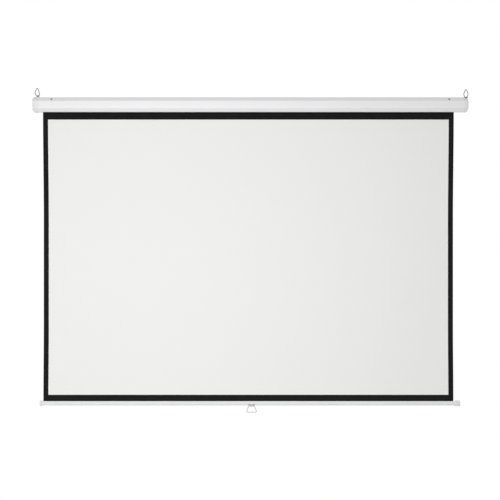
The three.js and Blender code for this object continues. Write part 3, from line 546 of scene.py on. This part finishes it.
class SCREEN_OT_finishes(bpy.types.Operator):
    """Paint, mouldings, cloth, wire and steel, all from noise and waves in object or cloth coordinates."""

    bl_idname = "projector_screen.finishes"
    bl_label = "Finishes"

    def execute(self, context):
        tint = context.scene.screen_colours
        build_groups()
        coat = {"Coat_Weight": 0.15, "Coat_Roughness": 0.25}
        bumps = [grain(1400.0, 0.12, 0.0003), grain(90.0, 0.04, 0.0008, 1.0)]
        new_finish("White powder coat", tint.case_white, 0.965, (0.34, 0.46), bumps, **coat)
        bumps = [grain(2600.0, 0.18, 0.0002, 2.0), grain(60.0, 0.05, 0.0008)]
        new_finish("White moulded plastic", tint.cap_white, 0.95, (0.42, 0.58), bumps, 9.0)
        coat = {"Coat_Weight": 0.3, "Coat_Roughness": 0.15}
        bumps = [grain(1100.0, 0.10, 0.0003), streaks(4.0, 900.0, 0.05, 0.0003)]
        new_finish("White bar enamel", tint.bar_white, 0.96, (0.24, 0.38), bumps, 4.0, **coat)
        matt = {"map_name": "cloth", "Specular_IOR_Level": 0.25}
        bumps = [weave(1300.0, 0.10, 0.0001), grain(2200.0, 0.16, 0.0002)]
        new_finish("Matt viewing surface", tint.view_white, 0.985, (0.82, 0.93), bumps, 1.4, 5.0, **matt)
        matt = {"map_name": "cloth", "Specular_IOR_Level": 0.12}
        bumps = [weave(1100.0, 0.35, 0.0002), grain(1800.0, 0.2, 0.0002)]
        new_finish("Black screen cloth", tint.black_cloth, 1.4, (0.68, 0.84), bumps, 30.0, **matt)
        for name, base, shade, roughness, bump, drift, marks in (
            ("Zinc plated wire", tint.zinc, 0.8, (0.22, 0.42), (700.0, 0.12), 60.0, 120.0),
            ("Zinc plated sheet", tint.bright_zinc, 0.86, (0.28, 0.46), (500.0, 0.1), 50.0, 90.0),
            ("Dark zinc plate", tint.dark_zinc, 0.7, (0.3, 0.5), (900.0, 0.15), 70.0, 140.0),
        ):
            new_finish(name, base, shade, roughness, [grain(*bump, 0.0003)], drift, marks, Metallic=1.0)
        bare, shade = (0.44, 0.45, 0.46), (0.33, 0.34, 0.35)
        bumps = [streaks(5.0, 800.0, 0.2, 0.0003)]
        new_finish("Mill steel", bare, shade, (0.28, 0.48), bumps, 40.0, 60.0, Metallic=1.0)
        oiled, shade = (0.20, 0.20, 0.215), (0.12, 0.12, 0.13)
        bumps = [streaks(60.0, 400.0, 0.15, 0.0002)]
        new_finish("Oiled spring steel", oiled, shade, (0.2, 0.36), bumps, 50.0, Metallic=1.0)
        nylon, shade = (0.74, 0.72, 0.65), (0.66, 0.64, 0.57)
        bumps = [grain(1500.0, 0.14, 0.0002)]
        new_finish("Natural nylon", nylon, shade, (0.4, 0.58), bumps, 45.0, Subsurface_Weight=0.05)
        return {"FINISHED"}


# Case, caps and what hangs them


def case_corners():
    """The case's outer section: an octagon with equal bevels, as (y, z) corners."""
    (front, low), high, bevel = CASE_LOW[1:], CASE_HIGH[2], CASE_BEVEL
    y = [front + bevel, front, front, front + bevel, -bevel, 0, 0, -bevel]
    z = [low, low + bevel, high - bevel, high, high, high - bevel, low + bevel, low]
    return np.stack([y, z], 1)


class SCREEN_OT_case(bpy.types.Operator):
    """The case's profile: an octagonal strip of painted sheet, open below in a slot with two lips."""

    bl_idname = "projector_screen.case"
    bl_label = "Case profile"

    def execute(self, context):
        low = CASE_LOW[2]
        front_lip = [(SLOT_FRONT, low + SLOT_LIP), (SLOT_FRONT, low)]
        rear_lip = [(SLOT_REAR, low), (SLOT_REAR, low + SLOT_LIP)]
        corners = np.concatenate([front_lip, case_corners(), rear_lip])
        bend = context.scene.screen_sizes.case_bend
        shell = strip_shell(corners, CASE_WALL, bend, (CASE_LOW[0], CASE_HIGH[0]))
        make_piece("case_profile", [shell], "case", "White powder coat", "case_shell")
        return {"FINISHED"}


def cap_pair(name, body, node, *shells):
    """The left and the right cap of a pair, from their shells."""
    finish = "White moulded plastic"
    for side, shell in zip(("_left", "_right"), shells):
        make_piece(name + side, [shell], body, finish, node + side, 40)


def cap_outline(inset):
    """The case's octagon moved inwards, with eased corners, as evenly spaced (y, z) points."""
    path = rounded_path(inset_path(case_corners(), inset), max(CAP_BEND - inset, FIT), 6)
    return evenly_spaced(path, count=320)


def cap_shell(seam, tip, top_cut, bottom_cut, bottom_rise, crown_drop, ease):
    """An end cap as one skin, from its hollow round its spigot to its outer face. At a run s from the
    seam to the tip the octagon's outline is held between two heights and two depths. The upper height is
    the lesser of the crown and a line that falls over the top cut, the lower one a line that rises by
    its own rise over the bottom cut, and the depths follow a quarter circle at the outer end. Over the
    last run e all four draw in by e - sqrt(e^2 - d^2), which eases the end face's edge."""
    side, wide = np.sign(tip - seam), abs(tip - seam)
    top = CASE_HIGH[2] + CAP_PROUD
    front = CASE_LOW[1] - CAP_PROUD

    def held(outline, run):
        draw, arc = draw_in(run, wide, ease), draw_in(run, wide, CAP_ROUND)
        crown = top - crown_drop * smooth_step(run, 0, CROWN_RUN) if crown_drop else top + CROWN_FREE
        upper = min(crown, top - crown_drop + (wide - top_cut - run) * CAP_FALL / top_cut) - draw
        lower = -top + (run - wide + bottom_cut) * bottom_rise / bottom_cut + draw
        y = np.clip(outline[:, 0], front + max(arc, draw), -max(arc, draw))
        z = -soft_least(-soft_least(outline[:, 1], upper, ease), -lower, ease)
        return np.stack([y, z], 1)

    spigot = FIT + CASE_WALL
    outer, hub, hollow = (cap_outline(i) for i in (-CAP_PROUD, spigot, spigot + SPIGOT_WALL))
    lips = (hub[:, 0] > SLOT_FRONT - LIP_ROOM) & (hub[:, 0] < SLOT_REAR + LIP_ROOM) & (hub[:, 1] < 0)
    raised = np.stack([0 * hub[:, 1], lips * (SLOT_LIP - FIT * 4)], 1)
    under_crown = np.minimum(hollow[:, 1], top - crown_drop - CAP_WALL)
    low_hollow = np.stack([hollow[:, 0], under_crown], 1)
    runs = np.concatenate([np.linspace(0, wide - CAP_ROUND, 12), end_runs(wide, CAP_ROUND, 22)])
    sections = [low_hollow, low_hollow + raised, hollow + raised, hub + raised, hub]
    sections += [held(outer, run) for run in runs]
    places = np.concatenate([[0.3 * wide, 0, -SPIGOT_LONG, -SPIGOT_LONG, 0], runs])
    return grid_shell(carried(np.stack(sections), seam + side * places))


class SCREEN_OT_caps(bpy.types.Operator):
    """The two moulded end caps. The right one is narrower, and its crown steps down."""

    bl_idname = "projector_screen.caps"
    bl_label = "End caps"

    def execute(self, context):
        ease = context.scene.screen_sizes.cap_edge
        left = cap_shell(CASE_LOW[0], box_of("end_cap_left")[0][0], *LEFT_CUTS, ease)
        right = cap_shell(CASE_HIGH[0], box_of("end_cap_right")[1][0], *RIGHT_CUTS, ease)
        cap_pair("cap", "case", "end_cap", left, right)
        return {"FINISHED"}


def screw_shell(head, head_tall, shank, long):
    """A pan-head screw along +X. The head's height over a radius r is h sqrt(1 - (r/R)^2) on a straight
    rim, less a cross recess: the greater of two crossed bars, each the product of two eased steps."""
    angle = whole_turn(72)
    slope = np.linspace(np.pi / 2, 0.04, 20)
    edge, neck = head / 2, shank / 2
    rim, dome, recess_deep = 0.45 * head_tall, 0.55 * head_tall, 0.6 * head_tall
    arm_end, arm_side = (0.32 * head, 0.26 * head), (0.085 * head, 0.045 * head)
    under = [(-long, 0.8 * neck), (-long + 0.6 * neck, neck), (0, neck), (0, 0.96 * edge)]
    under = np.array(under + [(0.06 * head_tall, edge)])
    radius = np.concatenate([under[:, 1], edge * np.sin(slope)])[:, None]
    height = np.concatenate([under[:, 0], rim + dome * np.cos(slope)])[:, None] + 0 * angle
    a, b = np.abs(radius * np.cos(angle)), np.abs(radius * np.sin(angle))

    def bar(u, v):
        return smooth_step(u, *arm_end) * smooth_step(v, *arm_side)

    recess = recess_deep * np.maximum(bar(a, b), bar(b, a))
    height[len(under) :] -= recess[len(under) :]
    points = np.stack([height, radius * np.cos(angle), radius * np.sin(angle)], -1)
    return grid_shell(points)


class SCREEN_OT_screws(bpy.types.Operator):
    """Cross-recessed screws: two through the case's upper front bevel and two in the handle's clip."""

    bl_idname = "projector_screen.screws"
    bl_label = "Screws"

    def execute(self, context):
        bevel, face = case_corners()[2:4], bar_corners()[3:5] + (BAR_Y, BAR_Z)
        clip_out = CLIP_WALL + 2 * FIT
        large = screw_shell(head=0.0105, head_tall=0.0026, shank=0.0046, long=0.0061)
        small = screw_shell(head=0.0046, head_tall=0.0010, shank=0.0024, long=0.0044)
        for side in ("_left", "_right"):
            for name, node, body, screw, (low, high), share, out in (
                ("case_screw", "bracket_screw", "case", large, bevel, SCREW_SHARE, FIT),
                ("handle_screw", "clip_screw", "bottom_bar", small, face, CLIP_SCREW_SHARE, clip_out),
            ):
                edge = high - low
                ahead = unit(np.array([-edge[1], edge[0]]))
                place = low + edge * share + ahead * out
                shell = moved(screw, (middle_of(node + side)[0], *place), (0, *ahead))
                make_piece(name + side, [shell], body, "Zinc plated wire", node + side)
        return {"FINISHED"}


class SCREEN_OT_hangers(bpy.types.Operator):
    """Bent wire rings, each through the bore of a lug on its end cap. The left one leans outwards.
    Across the case the lug's outline is, at an angle p round the bore, a half circle above and the lesser
    of w/|cos p| and h/|sin p| below. Its half length grows from the bore down to the foot."""

    bl_idname = "projector_screen.hangers"
    bl_label = "Rings and lugs"

    def execute(self, context):
        wire = context.scene.screen_sizes.ring_wire
        rim = spokes(whole_turn(96))
        cosine, sine = rim.T
        least = 1e-6
        boxed = np.minimum(LUG_ROUND / np.maximum(np.abs(cosine), least), LUG_TALL / np.maximum(-sine, least))
        outer = np.where(sine >= 0, LUG_ROUND, boxed)[:, None] * rim
        inner = (wire / 2 + FIT) * rim
        rows = np.stack([outer, outer, inner, inner])
        reach = LUG_HALF + LUG_SPREAD * np.clip(-rows[..., 1] / LUG_TALL, 0, 1)
        around = np.insert(rows, 0, np.array([-1, 1, 1, -1])[:, None] * reach, axis=2)
        for side, lean in (("_left", -0.0038), ("_right", -0.0006)):
            node, lug_node = "hanging_ring" + side, "ring_lug" + side
            place = np.array([*middle_of(node)[:2], box_of(node)[0][2] + wire / 2])
            bent = RING + np.where(RING[:, 1:] > 0, (lean, 0), 0)
            path = evenly_spaced(rounded_path(bent, RING_BENDS, 12), count=180)
            ring = wire_shell(path, place, wire / 2)
            make_piece("ring" + side, [ring], "ring" + side, "Dark zinc plate", node)
            lug = grid_shell(around + place, wrap_rows=True, close=False)
            lug = make_piece("lug" + side, [lug], "case", "Dark zinc plate", lug_node)
            soften(lug, 0.0005)
        return {"FINISHED"}


# Cloth


def waist_share(share):
    """How much of the waist the cloth has at a share of its drop."""
    return smooth_step(share, 0.02, 0.4) * (1 - 0.5 * smooth_step(share, 0.75, 1.0))


def hanging(wide, top, bottom, depth, rows, sizes):
    """The hanging cloth's grid between two heights. The half width is w less the waist, which eases in
    over the upper two fifths of the drop and halves again over the last quarter. The depth is a slow
    wave, a product and a sum of sines in x and z, plus an edge curl that grows as the 14th power towards
    the side edges. Both go backwards, away from the roll and towards the slot's rear lip, and fade to
    nothing at the slot and at the bar, as sin(pi z / Z) to the power 0.7."""
    across, z = np.meshgrid(np.linspace(-1, 1, 161), np.linspace(top, bottom, rows))
    share = z / CLOTH_LOW[2]
    x = across * (wide / 2 - WAIST * waist_share(share))
    hold = np.sin(np.pi * np.clip(share, 0, 1)) ** 0.7
    slow = 0.6 * np.sin(5.1 * x + 0.8) * np.cos(2.2 * z + 0.4) + 0.4 * np.sin(11.3 * x - 3.7 * z)
    curl = np.abs(x / (CLOTH_WIDE / 2)) ** 14
    y = depth + hold * (sizes.cloth_wave * (slow + 1) + sizes.edge_curl * curl)
    return np.stack([x + CLOTH_MIDDLE, y, z], -1)


class SCREEN_OT_cloth(bpy.types.Operator):
    """The hanging screen: black cloth, and on it the white viewing surface inside the black border. The
    border below the white is a piece of its own that rides on the bar. So it keeps its height as the
    screen rises."""

    bl_idname = "projector_screen.cloth"
    bl_label = "Hanging cloth"

    def execute(self, context):
        sizes = context.scene.screen_sizes
        view_width, _, view_drop = VIEW_HIGH - VIEW_LOW
        black = (CLOTH_LOW[1], BACKING, CLOTH_WIDE, "Black screen cloth", "black_backing", "black_cloth")
        white = (VIEW_LOW[1], COATING, view_width, "Matt viewing surface", "viewing_surface", "view_white")
        pieces = {}
        for name, layer, body, top, bottom, rows in (
            ("border_cloth", black, "case", CLOTH_HIGH[2], VIEW_LOW[2], 115),
            ("lower_border", black, "bottom_bar", VIEW_LOW[2] - FIT / 20, CLOTH_LOW[2], 6),
            ("white_surface", white, "case", VIEW_HIGH[2], VIEW_LOW[2], 113),
        ):
            face, thick, wide, finish, node, slot = layer
            front = hanging(wide, top, bottom, face, rows, sizes)
            faces, flat = (front, front + (0, thick, 0)), front[..., [0, 2]]
            pieces[name] = cloth_piece(name, faces, flat, body, finish, node)
        for name in ("border_cloth", "white_surface"):
            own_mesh(pieces[name])
        return {"FINISHED"}


def folded_cloth(name, faces, run, body, node):
    """A black cloth that keeps one section (y, z) over the whole width, from the sections of its two faces
    and the runs of its points along the first."""
    ends = np.linspace(CLOTH_LOW[0], CLOTH_HIGH[0], 9)
    flat = np.stack(np.meshgrid(ends, run, indexing="ij"), -1)
    grids = [carried(face, ends) for face in faces]
    piece = cloth_piece(name, grids, flat, body, "Black screen cloth", node)


class SCREEN_OT_wound_cloth(bpy.types.Operator):
    """The turns left on the roller, a spiral whose radius falls by the pitch each turn, and the hem
    inside the bar: an arc round its rod, open on top, with a stem up to the sheet."""

    bl_idname = "projector_screen.wound_cloth"
    bl_label = "Wound cloth and hem"

    def execute(self, context):
        thick = BACKING + COATING
        turns = np.linspace(ROLL_START, ROLL_TURNS, int(ROLL_TURNS * 72) + 1)
        spoke = spokes(2 * np.pi * turns)
        radius = (CLOTH_HIGH[1] - ROLLER_Y - ROLL_PITCH * turns)[:, None]
        faces = [spoke * reach + (ROLLER_Y, ROLLER_Z) for reach in (radius, radius - thick)]
        run = np.linspace(0, path_runs(faces[0])[-1], len(turns))
        folded_cloth("wound_cloth", faces, run, "roller", "fabric_roll")

        inner = np.ptp(box_of("hem_rod")[:, 2]) / 2 + FIT
        outer = inner + thick
        centre = middle_of("hem_rod")[1:]
        open_half = math.asin(thick / 2 / outer)
        rim = spokes(np.linspace(np.pi / 2 + open_half, 5 * np.pi / 2 - open_half, 60))
        stem_top = BAR_HIGH[2] - FIT - centre[1]
        faces = [
            np.concatenate([[(-half, stem_top)], rim * radius, [(half, stem_top)]]) + centre
            for half, radius in ((thick / 2, outer), (FIT / 20, inner))
        ]
        run = path_runs(faces[0])
        folded_cloth("cloth_hem", faces, run, "bottom_bar", "sheet_hem")
        return {"FINISHED"}


# Bottom bar and handle


def bar_corners():
    """The bar's outer section about its own middle, as (y, z) corners."""
    rear = np.array([(BAR_TOP / 2, BAR_HALF), (BAR_DEEP, 0), (BAR_BOTTOM / 2, -BAR_HALF)])
    return np.concatenate([rear, rear[::-1] * (-1, 1)])


class SCREEN_OT_bar(bpy.types.Operator):
    """The weighted bar: a six-sided strip of painted sheet with a slot on top for the cloth."""

    bl_idname = "projector_screen.bar"
    bl_label = "Bottom bar"

    def execute(self, context):
        corners = np.concatenate([[(BAR_SLOT / 2, BAR_HALF)], bar_corners(), [(-BAR_SLOT / 2, BAR_HALF)]])
        corners += (BAR_Y, BAR_Z)
        bend = context.scene.screen_sizes.bar_bend
        shell = strip_shell(corners, BAR_WALL, bend, (BAR_LOW[0], BAR_HIGH[0]))
        make_piece("bar_profile", [shell], "bottom_bar", "White bar enamel", "bottom_bar")
        return {"FINISHED"}


def bar_cap_shell(seam, tip, bend):
    """A bar cap as one skin, from its hollow round its spigot to its end. From the seam to the tip the
    six-sided outline grows by g times an eased step over the flare, then draws in by a quarter circle.
    Its hollow and its hub are notched in the middle of their tops, where the cloth comes in."""
    flare, grow, ease = 0.007, 0.003, 0.0022
    spigot_long, spigot_wall, spigot_bend = 0.018, 0.0016, 0.0007
    notch_half, hub_floor, hollow_floor = 0.00305, 0.0036, 0.0020
    side, wide = np.sign(tip - seam), abs(tip - seam)

    def outline(out, radius):
        return evenly_spaced(rounded_path(inset_path(bar_corners(), -out), radius, 8), count=192)

    def notched(section, floor):
        y, z = section.T
        return np.stack([y, np.where((np.abs(y) < notch_half) & (z > 0), np.minimum(z, floor), z)], 1)

    hub = notched(outline(-BAR_WALL - FIT, spigot_bend), hub_floor)
    hollow = notched(outline(-BAR_WALL - FIT - spigot_wall, FIT), hollow_floor)
    straight = np.linspace(flare, wide - ease, 4)[1:]
    runs = np.concatenate([np.linspace(0, flare, 10), straight, end_runs(wide, ease, 9)])
    grown = grow * smooth_step(runs, 0, flare) - draw_in(runs, wide, ease)
    sections = [hollow, hollow, hub, hub] + [outline(out, bend + max(out, 0)) for out in grown]
    places = np.concatenate([[0.4 * flare, -spigot_long, -spigot_long, 0], runs])
    return grid_shell(carried(np.stack(sections) + (BAR_Y, BAR_Z), seam + side * places))


class SCREEN_OT_bar_caps(bpy.types.Operator):
    """The flared caps that close the bar and stop against the case's slot. The right one is longer."""

    bl_idname = "projector_screen.bar_caps"
    bl_label = "Bar caps"

    def execute(self, context):
        bend = context.scene.screen_sizes.bar_bend
        left = bar_cap_shell(BAR_LOW[0], box_of("bar_cap_left")[0][0], bend)
        right = bar_cap_shell(BAR_HIGH[0], box_of("bar_cap_right")[1][0], bend)
        cap_pair("bar_end", "bottom_bar", "bar_cap", left, right)
        return {"FINISHED"}


class SCREEN_OT_handle(bpy.types.Operator):
    """The clip bent round the bar's lower half, tapering downwards, with a notch in its upper edges and a
    rolled barrel below, and the wire loop that swings in the barrel. The clip's half width loses its taper
    from the top down, and near the upper edges its points slide down the face by the notch's depth times
    an eased step in x."""

    bl_idname = "projector_screen.handle"
    bl_label = "Handle and clip"

    def execute(self, context):
        wire = context.scene.screen_sizes.handle_wire
        low, high = box_of("handle_clip")
        middle = middle_of("handle_clip")[0]
        barrel_inner = wire / 2 + FIT
        barrel_outer, barrel_half = barrel_inner + CLIP_WALL, 0.0115
        pivot = (middle, BAR_Y, low[2] + barrel_outer)
        corners = bar_corners()[1:5]
        top = high[2] - BAR_Z
        corners[[0, 3]] += (corners[[1, 2]] - corners[[0, 3]]) * top / corners[1, 1]
        slope = unit(corners[0] - corners[1])
        notch_deep, notch_tall, notch_ends = 0.0026, 0.005, (0.16, 0.3)
        taper, taper_tall = 0.0052, 0.0125
        across = np.linspace(-1, 1, 61)[:, None]
        notch = notch_deep * (1 - smooth_step(np.abs(across), *notch_ends))
        faces = []
        for out, radius in ((FIT + CLIP_WALL, 0.0032), (FIT, 0.002)):
            path = rounded_path(inset_path(corners, -out, False), radius, 8, False)
            y, z = evenly_spaced(path, count=121, closed=False).T
            slide = notch * smooth_step(z, top - notch_tall, top)
            level = z - slide * slope[1]
            half = (high[0] - low[0]) / 2 - taper * smooth_step(-level, -top, taper_tall)
            place = (middle + across * half, y - np.sign(y) * slide * slope[0], level)
            faces.append(np.stack(place, -1) + (0, BAR_Y, BAR_Z))
        barrel = tube_shell(-barrel_half, barrel_half, barrel_outer, barrel_inner, sides=40)
        shells = [two_faced(*faces), moved(barrel, pivot)]
        sheet, node = "Zinc plated sheet", "handle_clip"
        soften(make_piece("handle_saddle", shells, "bottom_bar", sheet, node), 0.00025)

        path = evenly_spaced(rounded_path(LOOP, LOOP_BENDS, 12), count=200)
        loop = wire_shell(path, pivot, wire / 2)
        make_piece("handle_loop", [loop], "handle", "Zinc plated wire", "pull_handle")
        return {"FINISHED"}


# Inside the case


class SCREEN_OT_works(bpy.types.Operator):
    """The roller tube, a tube turned about X, and its torsion spring, a helix, both finer than the frame's.
    The other parts inside keep the frame's shapes and get their finishes."""

    bl_idname = "projector_screen.works"
    bl_label = "Roller and lock"

    def execute(self, context):
        low, high = box_of("roller_tube")
        outer = (high[1] - low[1]) / 2
        axis = (0, ROLLER_Y, ROLLER_Z)
        tube = moved(tube_shell(low[0], high[0], outer, outer - TUBE_WALL, sides=96), axis)
        make_piece("roller_barrel", [tube], "roller", "Mill steel", "roller_tube")
        low, high = box_of("torsion_spring")
        half = SPRING_WIRE / 2
        radius = (high[2] - low[2]) / 2 - half
        coil = coil_shell(radius, SPRING_WIRE, low[0] + half, high[0] - half, SPRING_TURNS)
        coil = [moved(coil, axis)]
        make_piece("spring_coil", coil, "roller", "Oiled spring steel", "torsion_spring")
        for finish, nodes in {
            "Mill steel": "idler_bracket ratchet_bracket idler_pin spring_arbor arbor_collar ratchet_wheel "
            "pawl_upper pawl_lower hem_rod",
            "Zinc plated wire": "pawl_pin_upper pawl_pin_lower",
            "Natural nylon": "idler_plug idler_bush drive_plug arbor_bush spring_anchor",
        }.items():
            for node in nodes.split():
                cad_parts[node].material_slots[0].material = bpy.data.materials[finish]
        return {"FINISHED"}


# Studio


def plain_rays(tree):
    """1 for rays that should meet the plain white background: seen, mirrored or passed through glass."""
    path = add_node(tree, "LightPath").outputs
    first = worked_out(tree, "MAXIMUM", path["Is Camera Ray"], path["Is Glossy Ray"])
    return worked_out(tree, "MAXIMUM", first, path["Is Transmission Ray"])


def white_light(tree, kind, strength=1.0):
    """A shader of white light."""
    return add_node(tree, kind, {"Color": (1, 1, 1, 1), "Strength": strength}).outputs[0]


def build_world():
    """White to the camera, and a soft even light to the object."""
    world = bpy.data.worlds.new("Studio surround")
    world.use_nodes = True
    tree = world.node_tree
    tree.nodes.clear()
    soft, plain = (white_light(tree, "Background", strength) for strength in (0.56, 1.0))
    add_node(tree, "OutputWorld", {"Surface": mixed(tree, plain_rays(tree), soft, plain)})
    return world


def build_floor(tint):
    """A round floor well under the bar. To the camera it is half white at its middle and fades from
    there into the white surround, and its underside lets rays through."""
    level, sides, radii = -2.4, 128, np.array([0.02, 1.2, 2.4, 14.0])
    rings = radii[:, None, None] * spokes(whole_turn(sides))
    places, quads, triangles = grid_shell(np.insert(rings, 2, level, axis=2))
    material = bpy.data.materials.new("Pale floor")
    material.use_nodes = True
    shell = (places, quads[:, ::-1], triangles[:sides, ::-1])
    new_object("studio_floor", [shell], material)
    tree = material.node_tree
    paint = {"Base Color": (*tint, 1.0), "Roughness": 0.9}
    shader = set_inputs(tree, tree.nodes["Principled BSDF"], paint).outputs[0]
    place = add_node(tree, "TexCoord").outputs["Object"]
    flat = worked_out(tree, "MULTIPLY", place, (1, 1, 0), kind="VectorMath")
    away = add_node(tree, "VectorMath", {0: flat}, operation="LENGTH").outputs["Value"]
    ends = {"Value": away, "From Min": 0.5, "From Max": 2.1, "To Min": 0.5}
    fade = add_node(tree, "MapRange", ends, interpolation_type="SMOOTHSTEP").outputs["Result"]
    faded = worked_out(tree, "MULTIPLY", fade, plain_rays(tree))
    both = mixed(tree, faded, shader, white_light(tree, "Emission"))
    clear = add_node(tree, "BsdfTransparent").outputs[0]
    under = add_node(tree, "NewGeometry").outputs["Backfacing"]
    set_inputs(tree, tree.nodes["Material Output"], {"Surface": mixed(tree, under, both, clear)})


def area_light(name, place, aim, size, power, spread=180):
    """A soft rectangular lamp at a place, turned towards a point and unseen by the camera. Its spread is
    the full angle of its beam, in degrees."""
    lamp = bpy.data.lights.new(name, "AREA")
    lamp.shape = "RECTANGLE"
    lamp.size, lamp.size_y = size
    lamp.energy = power
    lamp.spread = math.radians(spread)
    light = in_scene(name, lamp)
    light.location = place
    direction = mathutils.Vector(aim) - mathutils.Vector(place)
    light.rotation_euler = direction.to_track_quat("-Z", "Y").to_euler()
    light.visible_camera = False


class SCREEN_OT_studio(bpy.types.Operator):
    """Camera at the photograph's angle, white surround, pale floor, a soft front lamp for the screen and
    two rear lamps for its ends and back."""

    bl_idname = "projector_screen.studio"
    bl_label = "Studio"

    def execute(self, context):
        scene = context.scene
        scene.world = build_world()
        build_floor(scene.screen_colours.floor)
        area_light("front lamp", (-0.62, -3.45, -0.64), (-0.62, 0, -0.64), (2.2, 0.9), 57)
        for word, side in (("left", -1), ("right", 1)):
            area_light(f"{word} rear lamp", (3.4 * side, 3.0, 0.2), (0, 0, -0.6), (1.6, 1.2), 8, 60)
        scene.camera = in_scene("front view", bpy.data.cameras.new("front view"))
        scene.camera.data.lens = 153.0
        scene.camera.location = (-0.002, -10.8, -0.735)
        scene.camera.rotation_euler = (math.pi / 2, 0, 0)
        scene.view_settings.view_transform = "Standard"
        return {"FINISHED"}


class SCREEN_PT_panel(bpy.types.Panel):
    """The screen's pieces, in the order they are built."""

    bl_idname = "SCREEN_PT_panel"
    bl_label = "Projector screen"
    bl_space_type = "VIEW_3D"
    bl_region_type = "UI"
    bl_category = "Screen"

    def draw(self, context):
        for group in (context.scene.screen_sizes, context.scene.screen_colours):
            for word in type(group).__annotations__:
                self.layout.prop(group, word)
        for operator in OPERATORS:
            self.layout.operator(operator.bl_idname)


OPERATORS = (
    SCREEN_OT_studio,
    SCREEN_OT_finishes,
    SCREEN_OT_case,
    SCREEN_OT_caps,
    SCREEN_OT_screws,
    SCREEN_OT_hangers,
    SCREEN_OT_wound_cloth,
    SCREEN_OT_cloth,
    SCREEN_OT_bar,
    SCREEN_OT_bar_caps,
    SCREEN_OT_handle,
    SCREEN_OT_works,
)
CLASSES = (ScreenSizes, ScreenColours, *OPERATORS, SCREEN_PT_panel)


def register():
    """Registers the classes and hangs their settings on the scene."""
    for cls in CLASSES:
        bpy.utils.register_class(cls)
    bpy.types.Scene.screen_sizes = PointerProperty(type=ScreenSizes)
    bpy.types.Scene.screen_colours = PointerProperty(type=ScreenColours)


def unregister():
    """Takes the settings and classes away again."""
    del bpy.types.Scene.screen_colours
    del bpy.types.Scene.screen_sizes
    for cls in reversed(CLASSES):
        bpy.utils.unregister_class(cls)


def main():
    """Builds the whole scene."""
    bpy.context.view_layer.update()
    register()
    for operator in OPERATORS:
        getattr(bpy.ops.projector_screen, operator.bl_idname.split(".")[1])()


if __name__ == "__main__":
    main()
